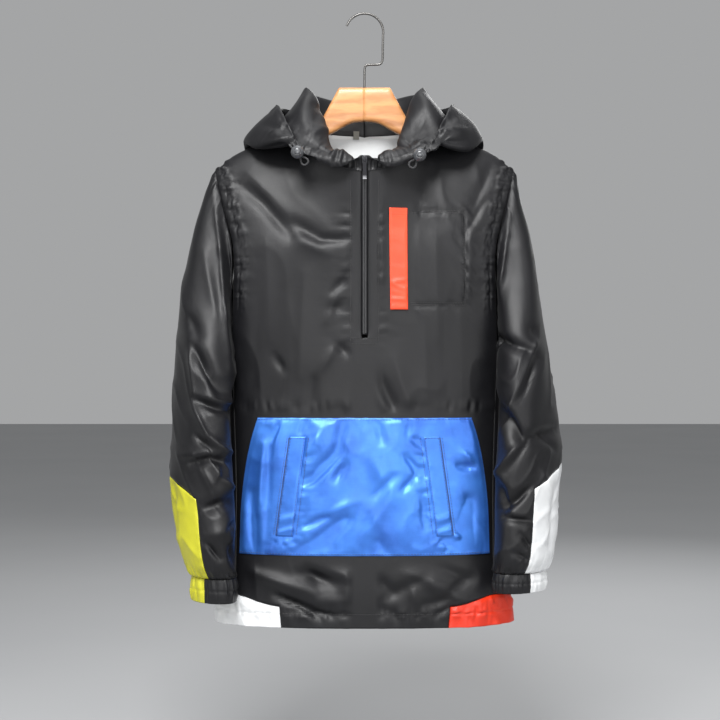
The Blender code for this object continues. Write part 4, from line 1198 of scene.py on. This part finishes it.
def sleeve_grid(side, loop):
    """The sleeve on +X: rings that start as the armhole and turn level towards the wrist."""
    table, end = SLEEVES[side], CUFF_TOP[side]
    count = len(loop)
    top, bottom = loop[0, 2], loop[count // 2, 2]
    first = (INSET_OUTER_Z[side] - top) / (end - top)
    step = np.concatenate(
        [np.linspace(0, first, SLEEVE_UPPER_ROWS + 1), np.linspace(first, 1, SLEEVE_LOWER_ROWS + 1)[1:]]
    )[:, None]
    cosine = np.clip((loop[:, 2] - (top + bottom) / 2) / ((top - bottom) / 2), -1, 1)
    seam_angle = np.degrees(np.arccos(cosine))
    k = np.arange(count)
    seam_angle = np.where(k > count // 2, 360 - seam_angle, seam_angle)
    angle = mix(seam_angle[None, :], 360 * k[None, :] / count, ease(step / 0.25))
    turn = np.radians(angle)
    cosine = np.cos(turn)
    z = mix(mix(bottom, end, step), mix(top, end, step), (1 + cosine) / 2)
    place = sleeve_section(table, z, angle)
    drawn = loop - sleeve_section(table, loop[:, 2], seam_angle)
    place = place + drawn[None, :, :] * (1 - ease(step / 0.3))[..., None]
    place[..., 0] += mix(0.5, ARMHOLE_STEP, ease((1 - cosine) / 0.6))
    low_cell, high_cell = (round(count * share) for share in SLEEVE_INSET_SHARE)
    down = step * np.abs(end - top)
    out = sleeve_folds(side, place, step, angle, down)
    # Seams: at the armhole, and round the inset
    facing = facing_front(angle)
    out = out - SEAM_DIP["depth"] * np.exp(-down / 3)
    out = out - 3.0 * facing * ease((cosine + 0.4) / 0.6) * np.exp(-down / 5)
    for column in (low_cell, high_cell):
        near = np.abs((k - column + count / 2) % count - count / 2)[None, :] * 3.1
        below = ease((step - first) / 0.02 + 0.5)
        seam = puckers(place[..., 2], near, 6.5, 8.0, 1.6, SLEEVE_SEED[side] + 4) - 0.9 * np.exp(-near / 3)
        out = out + below * seam
    within = ((k - low_cell) % count <= high_cell - low_cell)[None, :]
    out = out - within * 0.9 * np.exp(-np.abs(step - first) * SLEEVE_LENGTH / 3)
    away = np.stack([cosine, -np.sin(turn), np.zeros_like(cosine)], -1)
    return place + away * out[..., None], (low_cell, high_cell)


def facing_front(angle):
    return ease((np.sin(np.radians(angle)) + 0.15) / 0.5)


def sleeve_folds(side, place, step, angle, down):
    """How far each point of a sleeve stands out by its folds and the puckers at both its ends."""
    x, z, seed = place[..., 0], place[..., 2], SLEEVE_SEED[side]
    calm = ease(step / 0.05) * ease((1 - step) / 0.03)
    facing = facing_front(angle)
    near_body = ease((np.abs(angle - 205) - 15) / 40)
    run = angle * 1.05
    front = folds_at(SLEEVE_FRONT_FOLDS[side], x, z) * facing * 1.6
    back = folds_at(SLEEVE_BACK_FOLDS, run, z) * (1 - facing) * near_body
    low = ease((-430 - z) / 90)
    soft = ripple(run / 36, z / 60 + run / 90, seed) * mix(0.8, 2.0, low)
    sharp = crease(run / 30 + z / 60, z / 46, seed + 1) * mix(0.6, 2.2, low)
    out = (front + back + (soft + sharp) * near_body) * calm
    up = (1 - step) * SLEEVE_LENGTH
    return out + puckers(run, down, 6.5, 11.0, 2.2, seed + 2) + puckers(run, up, 6.0, 12.0, 2.6, seed + 3)


CUFF_COLUMNS, CUFF_ROWS = 240, 18
CUFF_INSET_ANGLES = (-37.5, 72.0)
CUFF_SEED = {"left": 101, "right": 111}


def cuff_grid(side):
    table = SLEEVES[side]
    top, bottom = CUFF_TOP[side], CUFF_BOTTOM[side]
    share = np.linspace(0, 1, CUFF_ROWS + 1)[:, None]
    z = mix(top, bottom, share) - 0.3 * (share == 0)
    angle = 360 * np.arange(CUFF_COLUMNS)[None, :] / CUFF_COLUMNS
    turn = np.radians(angle)
    seed = CUFF_SEED[side]
    body = np.sin(math.pi * (0.1 + 0.8 * share))
    gathers = ripple(angle / 8.5, share * 1.2, seed) + 0.45 * ripple(angle / 4, share * 1.6, seed + 1)
    out = 2.1 * gathers * body + 2.0 * np.sin(math.pi * share) - 1.6
    out = out - 0.9 * hump(share, 0.5, 0.05) - 0.8 * np.exp(-share * 28 / 2.5)
    section = sleeve_section(table, top, angle)
    x = section[..., 0] + out * np.cos(turn)
    y = section[..., 1] - out * np.sin(turn)
    return np.stack(np.broadcast_arrays(x, y, z + 0 * angle), -1)


def outward(side, grid):
    """A grid of +X for its own side, with its columns in the order that makes the faces point out."""
    return grid[:, ::-1] if side == "left" else grid * (-1, 1, 1)


def counted(side, total):
    """For each cell of a turned grid, its column as the grid of +X counts it."""
    column = np.arange(total)
    return (total - 2 - column) % total if side == "left" else column


def make_sleeve(side, loop, finish):
    """A sleeve and its cuff, each with a part in another colour."""
    sleeve, sleeve_ends = sleeve_grid(side, loop)
    cuff_ends = [round(angle / 360 * CUFF_COLUMNS) for angle in CUFF_INSET_ANGLES]
    parts = (
        ("sleeve", "cloth", sleeve, sleeve_ends, SLEEVE_UPPER_ROWS, ["front_body", "back_body"]),
        ("cuff", "band", cuff_grid(side), cuff_ends, 0, []),
    )
    for part, plain, grid, (low, high), first_row, rests_on in parts:
        total = grid.shape[1]
        inside = np.zeros((grid.shape[0] - 1, total), bool)
        inside[first_row:] = (counted(side, total) - low) % total < high - low
        points = outward(side, grid)
        name, nodes = f"{part}_{side}", [f"{part}_{side}"]
        sewn(f"{name}_{plain}", points, BLACK, nodes, around=True, keep=~inside)
        nodes, flat = [f"{part}_inset_{side}"], FLAT[f"{part}_patch"]
        sewn(f"{name}_patch", points, finish, nodes, around=True, keep=inside)


# Pieces on the front: the pouch pocket, its two welts and the chest strip

POCKET_TOP_Z, POCKET_BOTTOM_Z = -582.0, -775.0
POCKET_EDGE = Table("drop turn", [(0, 47), (0.15, 51.5), (0.35, 56), (0.6, 59), (1, 57.5)])
LAYER = 1.45
POCKET_FOLDS = [
    (-30, -588, -38, -632, -5, 6),
    (-38, -630, -74, -668, -6, 8),
    (-74, -668, -90, -678, -3, 6),
    (-28, -646, -40, -668, -4, 6),
    (-24, -724, -58, -752, -6, 8),
    (-58, -752, -96, -774, -5, 8),
    (-52, -720, -84, -734, -4, 4),
    (-60, -600, -84, -640, 3, 10),
    (-20, -700, -50, -716, 3, 8),
    (10, -640, 40, -690, 2.5, 12),
    (58, -636, 74, -656, -4, 4),
    (74, -656, 92, -658, -6, 6),
    (68, -612, 88, -622, -4, 5),
    (40, -664, 16, -690, -3, 6),
    (70, -664, 52, -684, -3, 5),
    (80, -690, 84, -738, -3, 5),
    (30, -700, -10, -760, 2.5, 12),
    (18, -752, 28, -774, -3.5, 4),
    (112, -752, 140, -764, -5, 5),
    (120, -744, 138, -752, 3, 4),
    (150, -652, 132, -650, -4, 5),
    (146, -700, 140, -770, -5, 9),
    (136, -630, 150, -644, 3, 6),
    (-140, -620, -146, -700, 3, 6),
    (-132, -600, -138, -760, -2.5, 8),
    (-158, -690, -154, -770, -4, 8),
    (20, -590, 24, -616, -2, 5),
    (64, -588, 58, -612, -2, 5),
    (-120, -588, -128, -612, -2.5, 4),
    (-84, -588, -90, -604, -2, 3),
]


def front_place(share, z):
    low = oval_point(z, share * BODY.at("front_turn", z))
    rise_top = top_point("front", share)
    lift = np.clip((z - YOKE_Z) / (rise_top[..., 2] - YOKE_Z), 0, 1)
    high = yoke_point("front", share, 1 - np.sqrt(1 - lift))
    return np.where((z <= YOKE_Z)[..., None], low, high)


def front_y(x, z):
    """The depth of the front's smooth form, eased over the bend at the yoke level."""
    x, z = np.broadcast_arrays(np.asarray(x, float), np.asarray(z, float))
    reach = 9.0 * ease(1 - np.abs(z - YOKE_Z) / 60)
    steps = [bent_y(x, z + reach * k) for k in (-1.8, -0.6, 0.6, 1.8)]
    return steps[0] * 0.16 + steps[1] * 0.34 + steps[2] * 0.34 + steps[3] * 0.16


def bent_y(x, z):
    low, high = np.zeros(x.shape), np.ones(x.shape)
    for _ in range(24):
        share = (low + high) / 2
        inside = front_place(share, z)[..., 0] < np.abs(x)
        low, high = np.where(inside, share, low), np.where(inside, high, share)
    return front_place(share, z)[..., 1]


def pocket_bulge(x, z):
    drop = np.clip((POCKET_TOP_Z - z) / (POCKET_TOP_Z - POCKET_BOTTOM_Z), 0, 1)
    return 3.0 * np.sin(math.pi * drop) * np.maximum(0.0, 1 - (x / 172) ** 2)


def on_front(x, z, layer):
    """Points that lie a number of layers out from the front's smooth form."""
    step = 2.0
    slope = (front_y(x + step, z) - front_y(x - step, z)) / (2 * step)
    out = layer * LAYER + pocket_bulge(x, z)
    length = np.hypot(slope, 1)
    return np.stack(np.broadcast_arrays(x + slope / length * out, front_y(x, z) - out / length, z), -1)


WELT_PLACE = {
    "top_in": 82,
    "top_out": 105,
    "top_z": -608,
    "bottom_in": 100,
    "bottom_out": 124,
    "bottom_z": -748,
}


def slanted(place, drop, share):
    """The near edge, x and z of a patch between two slanting sides, by its drop and its share across."""
    near = mix(place["top_in"], place["bottom_in"], drop)
    far = mix(place["top_out"], place["bottom_out"], drop)
    x = mix(near, far, share)
    return near, x, np.broadcast_to(mix(place["top_z"], place["bottom_z"], drop), x.shape)


def down_and_across(rows, columns):
    return np.linspace(0, 1, rows)[:, None], np.linspace(0, 1, columns)[None, :]


def pocket_relief(x, z):
    """How far the pocket's cloth stands out from its plain bulge."""
    drop = (WELT_PLACE["top_z"] - z) / (WELT_PLACE["top_z"] - WELT_PLACE["bottom_z"])
    inner = mix(WELT_PLACE["top_in"], WELT_PLACE["bottom_in"], drop)
    outer = mix(WELT_PLACE["top_out"], WELT_PLACE["bottom_out"], drop)
    level = ease(drop / 0.06 + 0.5) * ease((1 - drop) / 0.06 + 0.5)
    on_welt = ease((np.abs(x) - inner + 4) / 4) * ease((outer + 4 - np.abs(x)) / 4) * level
    out = folds_at(POCKET_FOLDS, x, z) * 1.8
    out = out + ripple(x / 40, z / 80, 121) * 1.8 + crease(x / 34 + z / 80, z / 60 - x / 120, 122) * 1.4
    out = out + puckers(z, np.abs(x) - inner, 7.0, 12.0, 2.6, 124) * level
    foot = np.hypot(np.abs(x) - (inner + outer) / 2, z - WELT_PLACE["bottom_z"] + 8)
    out = out + (ripple(x / 5, z / 6, 127) + crease(x / 7, z / 8, 128)) * 1.9 * hump(foot, 0, 21)
    edges = np.minimum(POCKET_TOP_Z - z, z - POCKET_BOTTOM_Z)
    room = ease((np.abs(np.abs(x) - (inner + outer) / 2) - 13) / 18)
    out = out + 2.0 * room * ease(edges / 40)
    out = out * (1 - on_welt) * ease(edges / 9)
    return out + puckers(x, edges, 7.0, 9.0, 1.2, 126) * ease(edges / 2)


def make_pocket():
    drop = np.linspace(0, 1, 73)[:, None]
    z = mix(POCKET_TOP_Z, POCKET_BOTTOM_Z, drop)
    edge = POCKET_EDGE.at("turn", drop)
    turn = edge * np.linspace(-1, 1, 133)[None, :]
    x = oval_point(z, turn)[..., 0]
    z = np.broadcast_to(z, x.shape)
    grid = on_front(x, z, 1)[::-1]
    far = from_edges(grid)
    out = pocket_relief(x, z)[::-1] * ease(from_edges(grid, top=False, bottom=False) / 10)
    out = np.maximum(out, -0.6 * LAYER - pocket_bulge(x, z)[::-1] * 0.8)
    out = out - 0.35 * hump(far, 2.6, 0.8) + 0.15 * hump(far, 1.2, 0.8)
    grid = moved_out(grid, out)
    sewn("pouch_pocket", grid, BLUE, ["pocket_panel"])
    return grid


def make_welt(side):
    sign = 1 if side == "left" else -1
    drop, share = down_and_across(57, 13)
    near, x, z = slanted(WELT_PLACE, drop, share)
    x = sign * x
    grid = on_front(x, z, 2)
    if sign < 0:
        grid = grid[:, ::-1]
    grid = grid[::-1]
    rim = from_edges(grid)
    out = ripple(x / 30, z / 24, 131)[::-1] * 0.6 + 0.2
    slant = drop + 0.05 * share
    sag = 2.4 * hump(slant, 0.85, 0.035) - 0.7 * hump(slant, 0.92, 0.03) + 1.6 * hump(slant, 0.97, 0.02)
    ticks = puckers(z, np.abs(x) - near, 5.0, 5.0, 1.1, 133)
    out = (out + (sag + ticks)[::-1]) * ease(rim / 4) - 0.3 * hump(rim, 2.2, 0.7)
    grid = moved_out(grid, out)
    sewn(f"welt_{side}_cloth", grid, BLUE, [f"welt_{side}"])
    return grid


STRIP_PLACE = {
    "top_in": 34,
    "top_out": 60,
    "top_z": -286,
    "bottom_in": 36,
    "bottom_out": 61,
    "bottom_z": -430,
}


def make_strip():
    drop, share = down_and_across(65, 17)
    _, x, z = slanted(STRIP_PLACE, drop, share)
    grid = on_front(x, z, 1.2)[::-1]
    rim = from_edges(grid)
    low = (0.35 + 0.65 * ease((drop - 0.62) / 0.1))[::-1]
    folds = crease(x / 40 + z / 20, z / 12, 141)[::-1] * 1.9 * low + ripple(x / 20, z / 34, 143)[::-1] * 0.7
    step = 0.5 * ease((0.075 - drop) / 0.01)[::-1] + 0.5 * ease((drop - 0.88) / 0.01)[::-1]
    out = folds * ease(rim / 3.5) + step - 0.3 * hump(rim, 1.8, 0.7)
    grid = moved_out(grid, out)
    sewn("chest_strip_cloth", grid, STRIP_ORANGE, ["chest_strip"])
    return grid


# Neck lining and the blank tab that hangs below its top edge

TAB = {"x": -12.0, "half_width": 4.2, "y": 26.4, "top_z": -165.0, "bottom_z": -177.0}


def make_lining(back):
    middle = PANEL_CELLS["back"]
    columns = slice(middle - 15, middle + 16)
    grid = moved_out(back[-41:, columns], -1.15 * LAYER)
    grid[-10:] = mix(grid[-11], grid[-1], 0.75 * np.linspace(0, 1, 11)[1:, None, None])
    rim = from_edges(grid)
    grid = moved_out(grid, (ripple(grid[..., 0] / 18, grid[..., 2] / 14, 151) * 0.4 - 0.2) * ease(rim / 5))
    sewn("neck_lining_cloth", grid, WHITE, ["neck_lining"])
    # The tab
    down = np.linspace(0, 1, 15)[:, None]
    across = np.linspace(-1, 1, 11)[None, :]
    x = TAB["x"] + TAB["half_width"] * across
    y = TAB["y"] - np.sin(math.pi * down) + 0.4 * across * down
    z = mix(TAB["bottom_z"], TAB["top_z"], down)
    tab = np.stack(np.broadcast_arrays(x, y, z), -1)
    sewn("neck_tab", tab, OFF_WHITE, (), wall=0.5, trim=0.0)


# Zip: the tape and its teeth

ZIP_TOP_Z = -214.0
TAPE = {"half_width": 12.0, "neck_half_width": 7.0, "coil_half": 2.7, "step": 0.6, "neck_z": -240.0}
TOOTH_PITCH = 1.7
# A tooth seen from the front, from its root out: reach and half height
TOOTH = [(-0.5, 0.0), (0.9, -0.45), (2.3, -0.75), (2.75, -0.45), (2.75, 0.45), (2.3, 0.75), (0.9, 0.45)]


def zip_y(z):
    rise = mix(NECK_FRONT[0], -71.0, (z - NECK_FRONT[1]) / (ZIP_TOP_Z - NECK_FRONT[1]))
    return np.where(z > NECK_FRONT[1], rise, front_y(ZIP_SLOT_HALF, np.minimum(z, NECK_FRONT[1])))


def make_zip():
    coil, tape = TAPE["coil_half"], TAPE["coil_half"] + TAPE["step"]
    levels = np.concatenate([np.linspace(ZIP_END_Z + 1, TAPE["neck_z"], 70), [NECK_FRONT[1], ZIP_TOP_Z]])
    below = levels < NECK_FRONT[1]
    wide = np.where(below, TAPE["half_width"], TAPE["neck_half_width"])
    y = zip_y(levels)
    behind = y + LAYER + 0.1
    edge = np.where(below, front_y(wide, np.minimum(levels, NECK_FRONT[1])) + LAYER + 0.3, behind)
    coil, tape = np.full_like(levels, coil), np.full_like(levels, tape)
    x = np.stack([-wide, -tape, -coil, coil, tape, wide], -1)
    depth = np.stack([edge, behind, y + 0.4, y + 0.4, behind, edge], -1)
    rows = np.stack([x, depth, np.broadcast_to(levels[:, None], x.shape)], -1)
    sewn("zip_tape_cloth", rows, BLACK, ["zip_tape"], wall=0.6, trim=0.0)
    make_teeth()


def make_teeth():
    """Teeth that mesh from both sides, each a small block that narrows to its back."""
    points, faces = [], []
    heights = np.arange(ZIP_END_Z + 3, ZIP_TOP_Z - 8, TOOTH_PITCH / 2)
    corners = len(TOOTH)
    for k, (z, y) in enumerate(zip(heights, zip_y(heights))):
        sign = 1 if k % 2 else -1
        first = len(points)
        for lift in (-0.9, 0.35):
            narrow = 0.82 if lift < 0 else 1.0
            for reach, half in TOOTH:
                points.append((sign * reach * narrow, y + lift, z + half * narrow))
        for j in range(corners):
            after = (j + 1) % corners
            faces.append((first + j, first + after, first + corners + after, first + corners + j))
        faces.append(tuple(range(first, first + corners)))
        faces.append(tuple(range(first + 2 * corners - 1, first + corners - 1, -1)))
    mesh = bpy.data.meshes.new("zip_teeth")
    mesh.from_pydata((np.array(points) * MM).tolist(), [], faces)
    body = bmesh.new()
    body.from_mesh(mesh)
    bmesh.ops.recalc_face_normals(body, faces=body.faces)
    body.to_mesh(mesh)
    body.free()
    teeth = piece("zip_teeth", mesh, TEETH)
    rounding = teeth.modifiers.new("rounding", "BEVEL")
    rounding.width = 0.12 * MM
    rounding.segments = 1


# Cord locks: a turned ball with a cord bore, and its press button

LOCK = {
    "radius": 9.4,
    "flat_front": 7.2,
    "collar": [(5.9, 8.0), (5.6, 8.35), (5.1, 8.4)],
    "well_radius": 4.8,
    "well": (0.6, 20.0),
    "bore_radius": 1.65,
    "bore_half_width": 3.6,
    "bore_half_length": 14.0,
}
BUTTON = {"radius": 4.5, "back": 4.2, "edge": 9.6, "front": 11.6}


def turned(name, rings, centre, finish, nodes):
    """A turned solid about the line straight back through a centre; rings are (radius, forward)."""
    turn = np.radians(np.arange(48) * 7.5)
    loops = []
    for radius, forward in rings:
        x = centre[0] + radius * np.cos(turn)
        z = centre[2] + radius * np.sin(turn)
        loops.append(np.stack([x, np.full(len(turn), centre[1] - forward), z], -1))
    return piece(name, skinned(name, loops), finish, nodes)


def keep_solid(node, look):
    """A solid whose shape is right stays, with the finer look."""
    for slot in bpy.data.objects[node].material_slots:
        slot.material = look


def carve(target, tools):
    """Cuts closed shapes out of a piece for good."""
    for tool in tools:
        step = target.modifiers.new("cut", "BOOLEAN")
        step.operation = "DIFFERENCE"
        step.solver = "EXACT"
        step.object = tool
    shapes = bpy.context.evaluated_depsgraph_get()
    cut = bpy.data.meshes.new_from_object(target.evaluated_get(shapes))
    target.modifiers.clear()
    target.data = cut
    for tool in tools:
        bpy.data.objects.remove(tool, do_unlink=True)
    target.data.shade_smooth()
    target.data.set_sharp_from_angle(angle=math.radians(40))


def make_lock(side):
    centre, along, across = lock_frame(side)
    heights = np.radians(np.linspace(-84, 84, 29))
    rings = [(LOCK["radius"] * math.cos(a), LOCK["radius"] * math.sin(a)) for a in heights]
    rings = [ring for ring in rings if ring[1] < LOCK["flat_front"]] + LOCK["collar"]
    ball = turned(f"cord_lock_ball_{side}", rings, centre, BLACK_PLASTIC, [f"cord_lock_{side}"])
    # The bore that both strands pass, and the button's well
    bore = centre + np.array([0, BORE_BEHIND, 0])
    small, wide = LOCK["bore_radius"], LOCK["bore_half_width"]
    outline = []
    for angle in np.radians(np.arange(24) * 15 + 7.5):
        reach = small * math.cos(angle) + math.copysign(wide - small, math.cos(angle))
        outline.append(across * reach + np.array([0, small * math.sin(angle), 0]))
    ends = [
        [bore + along * reach + spot for spot in outline]
        for reach in (-LOCK["bore_half_length"], LOCK["bore_half_length"])
    ]
    turn = np.radians(np.arange(48) * 7.5)
    radius = LOCK["well_radius"]
    well = [
        [centre + np.array([radius * math.cos(a), -forward, radius * math.sin(a)]) for a in turn]
        for forward in LOCK["well"]
    ]
    carve(ball, [placed("tool", skinned("tool", rings)) for rings in (ends, well)])
    radius, edge, front = BUTTON["radius"], BUTTON["edge"], BUTTON["front"]
    dome = [(radius, BUTTON["back"]), (radius, edge)]
    for a in np.radians((20, 40, 60, 80)):
        dome.append((radius - 1.2 * (1 - math.cos(a)), edge + 1.6 * math.sin(a)))
    dome += [(2.2, front - 0.15), (0.4, front)]
    button = turned(f"lock_button_{side}", dome, centre, BLACK_PLASTIC, [f"lock_plunger_{side}"])
    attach(button, f"plunger_{side}")


# Hanger

HANGER = Table(
    "x top bottom half_depth",
    [
        (0, -106, -155, 8),
        (20, -106, -158, 8),
        (37, -106.5, -167, 8),
        (44, -119, -171, 8),
        (58, -145, -178, 7.5),
        (72, -169.5, -188, 7),
        (84, -175.5, -196, 7),
        (110, -182, -205, 8),
        (150, -194.5, -219, 9),
        (180, -207, -230, 9),
        (196, -216, -236, 8),
        (203, -223, -234, 5),
    ],
)
HANGER_TOP_Z = -106.0
WIRE = 3.4
HOOK = {"radius": 25.5, "centre": (0.0, -25.5), "start": 160, "end": -8}
HOOK_TAIL = [(26.5, -50), (26, -66), (22.5, -71.5), (14, -72.5), (4, -73), (0.6, -77), (0, -90), (0, -105.6)]
JOINT = {"x": -0.7, "half": 0.45, "depth": 1.1}  # the glued joint between the hanger's two arms


def make_hanger():
    near = np.array([-0.9, -0.45, 0.0, 0.45, 0.9]) + JOINT["x"]
    side = [np.arange(*steps) for steps in ((3, 36, 3), (36, 46, 1.5), (46, 88, 2.5), (88, 200, 5))]
    side = np.concatenate(side + [[199, 201, 202.4, 203]])
    stations = np.sort(np.concatenate([-side, near, side]))
    turn = 2 * math.pi * (np.arange(48) + 0.5) / 48
    rings = []
    for x in stations:
        top, bottom, depth = (float(HANGER.at(column, abs(x))) for column in ("top", "bottom", "half_depth"))
        top = min(top, HANGER_TOP_Z)
        groove = JOINT["depth"] * float(hump(x, JOINT["x"], JOINT["half"]))
        y = (depth - groove) * signed_power(np.cos(turn), 0.55)
        z = (top + bottom) / 2 + ((top - bottom) / 2 - groove) * signed_power(np.sin(turn), 0.6)
        rings.append(np.stack([np.full(48, x), y, z], -1))
    piece("hanger_bar", skinned("hanger_bar", rings), WOOD, ["hanger_wood"])
    x0, z0 = HOOK["centre"]
    reach = HOOK["radius"] + WIRE / 2
    turn = np.radians(np.linspace(HOOK["start"], HOOK["end"], 60))
    route = [(x0 + reach * math.cos(a), 0, z0 + reach * math.sin(a)) for a in turn]
    tail = smooth_route([route[-1]] + [(x, 0, z) for x, z in HOOK_TAIL], 8)
    round_wire("hanger_wire", route + list(tail[1:]), WIRE, STEEL, ["hanger_hook"])


# Stitching


def at_level(grid, level):
    """The places and normals where a body panel's columns pass a height near the hem."""
    normals, rows = normals_of(grid), slice(0, INSET_ROWS + JOIN_ROWS)
    route, up = [], []
    for column in range(grid.shape[1]):
        z = grid[rows, column, 2]
        route.append([np.interp(level, z, grid[rows, column, k]) for k in range(3)])
        up.append([np.interp(level, z, normals[rows, column, k]) for k in range(3)])
    route, up = np.array(route), np.array(up)
    return route + up * ON_CLOTH, up


def beside_line(grid, line, out=ON_CLOTH):
    """A route along one row or column of a grid, lifted onto the cloth's face."""
    return grid[line] + normals_of(grid)[line] * out, normals_of(grid)[line]


def part_of(route, keep):
    places, normals = route
    return places[keep], normals[keep]


# The outline stitched twice on the chest: near and far side, top and bottom
CHEST_STITCHES = [(62, 142, -289, -423), (65, 139, -292, -420)]


def stitch_body(front, back):
    face = Surface(front)
    half, top, end, bar = (PLACKET[key] for key in ("stitch", "stitch_top_z", "stitch_end_z", "bar_z"))
    lines = [[(x, top), (x, end)] for x in (-half, half)]
    lines += [[(-half, z), (half, z)] for z in (end, bar)]
    lines += [[(near, high), (far, high), (far, low), (near, low)] for near, far, high, low in CHEST_STITCHES]
    black = [face.line(line, ON_CLOTH) for line in lines]
    colours = {"orange": [], "white": []}
    for part, grid in (("front", front), ("back", back)):
        hem = at_level(grid, HEM_Z + HEM_STITCH)
        cells, count = inset_cells(part), grid.shape[1]
        black.append(part_of(hem, slice(cells + 1, count - cells - 1)))
        first, last = ("white", "orange") if part == "front" else ("orange", "white")
        colours[first].append(part_of(hem, slice(0, cells)))
        colours[last].append(part_of(hem, slice(count - cells, count)))
    stitches("body_thread", black, BLACK_THREAD, 4.0, 2.9, 0.75)
    stitches("hem_thread_orange", colours["orange"], ORANGE_THREAD)
    stitches("hem_thread_white", colours["white"], WHITE_THREAD)


def stitch_pieces(pocket, welts, strip, hoods):
    pocket_face = Surface(pocket)
    blue = [beside_line(pocket, 1), beside_line(pocket, -2)]
    for sign in (-1, 1):
        for edge in ("in", "out"):
            shift = -4 if edge == "in" else 4
            top = (sign * (WELT_PLACE[f"top_{edge}"] + shift), WELT_PLACE["top_z"])
            bottom = (sign * (WELT_PLACE[f"bottom_{edge}"] + shift), WELT_PLACE["bottom_z"])
            blue.append(pocket_face.line([top, bottom], ON_CLOTH))
    # Along each welt's outer edge, a thick line of close dark navy stitches is a painted shadow of the
    # pocket's opening.
    mouth_shadows = []
    for welt, outer in zip(welts, (-1, 0)):
        for line in ((slice(None), 1), (slice(None), -2), -2):
            blue.append(beside_line(welt, line))
        mouth_shadows.append(beside_line(welt, (slice(None), outer), 0.1))
    stitches("pocket_mouth_cord", mouth_shadows, NAVY_THREAD, 3.0, 3.1, 1.5)
    stitches("pocket_thread", blue, NAVY_THREAD, 4.2, 2.9, 0.8)
    rim = [beside_line(strip, (slice(None), 1)), beside_line(strip, (slice(None), -2))]
    rim += [beside_line(strip, -6), beside_line(strip, 8)]
    stitches("strip_thread", rim, ORANGE_THREAD)
    edges = []
    for grid in hoods:
        away = np.linalg.norm(grid - grid[:, -1:], axis=2)
        places, up = [], []
        normals = normals_of(grid)
        for station in range(2, len(grid) - 1):
            row = np.argmin(np.abs(away[station] - CHANNEL["width"]))
            places.append(grid[station, row] + normals[station, row] * ON_CLOTH)
            up.append(normals[station, row])
        edges.append((np.array(places), np.array(up)))
    stitches("hood_thread", edges, BLACK_THREAD)


def main():
    hoods = {side: hood_grid(side) for side in ("left", "right")}
    for side in LOCKS:
        make_loop(side, Surface(hoods[side]))
    for side in LOCKS:
        make_lock(side)
        nodes = [f"hood_{side}"]
        sewn(f"hood_{side}_cloth", hoods[side], BLACK, nodes)
    panels = make_panels()
    make_hem_insets(panels["front"], panels["back"])
    loop = armhole_loop()
    make_sleeve("left", loop, WHITE)
    make_sleeve("right", loop, YELLOW)
    pocket = make_pocket()
    welts = [make_welt("left"), make_welt("right")]
    strip = make_strip()
    make_lining(panels["back"])
    make_zip()
    make_hanger()
    keep_solid("zip_slider", GUNMETAL)
    keep_solid("zip_pull_tab", TAB_METAL)
    stitch_body(panels["front"], panels["back"])
    stitch_pieces(pocket, welts, strip, list(hoods.values()))


main()

# Floor and light


def floor_look():
    look = Look("pale_floor", roughness=0.7)
    cloud = look.noise(look.place(), 1.2, 3)
    look.set("Base Color", look.blend(cloud, (0.33, 0.335, 0.345), (0.38, 0.385, 0.39)))
    look.relief(look.noise(look.place(), 160, 2) * 0.1)
    return look.material


def make_floor():
    body = bmesh.new()
    bmesh.ops.create_grid(body, x_segments=2, y_segments=2, size=12)
    mesh = bpy.data.meshes.new("floor")
    body.to_mesh(mesh)
    body.free()
    mesh.materials.append(floor_look())
    floor = placed("floor", mesh)
    floor.location = (0, 0, -1.15)


def make_light(name, place, target, size, power):
    light = bpy.data.lights.new(name, "AREA")
    light.shape = "RECTANGLE"
    light.size, light.size_y = size
    light.energy = power
    made = placed(name, light)
    made.location = place
    made.rotation_euler = (Vector(target) - Vector(place)).to_track_quat("-Z", "Y").to_euler()


make_floor()
world = bpy.data.worlds.new("pale_room")
world.use_nodes = True
world.node_tree.nodes["Background"].inputs["Color"].default_value = (0.93, 0.94, 0.95, 1)
world.node_tree.nodes["Background"].inputs["Strength"].default_value = 0.4
bpy.context.scene.world = world
make_light("key", (-0.3, -1.8, 1.4), (0, 0, -0.42), (1.0, 0.8), 104)
make_light("front", (0.1, -2.4, -0.35), (0, 0, -0.45), (0.8, 0.8), 16)
make_light("fill", (1.9, -1.9, -0.1), (0, 0, -0.5), (1.2, 1.6), 20)
make_light("rear", (0.8, 2.3, 0.7), (0, 0, -0.5), (1.4, 1.4), 24)
make_light("side", (-2.0, -1.5, 0.1), (0, 0, -0.5), (1.0, 1.6), 16)
make_light("top", (0.2, 0.0, 1.6), (0, 0, -0.4), (1.8, 1.2), 16)
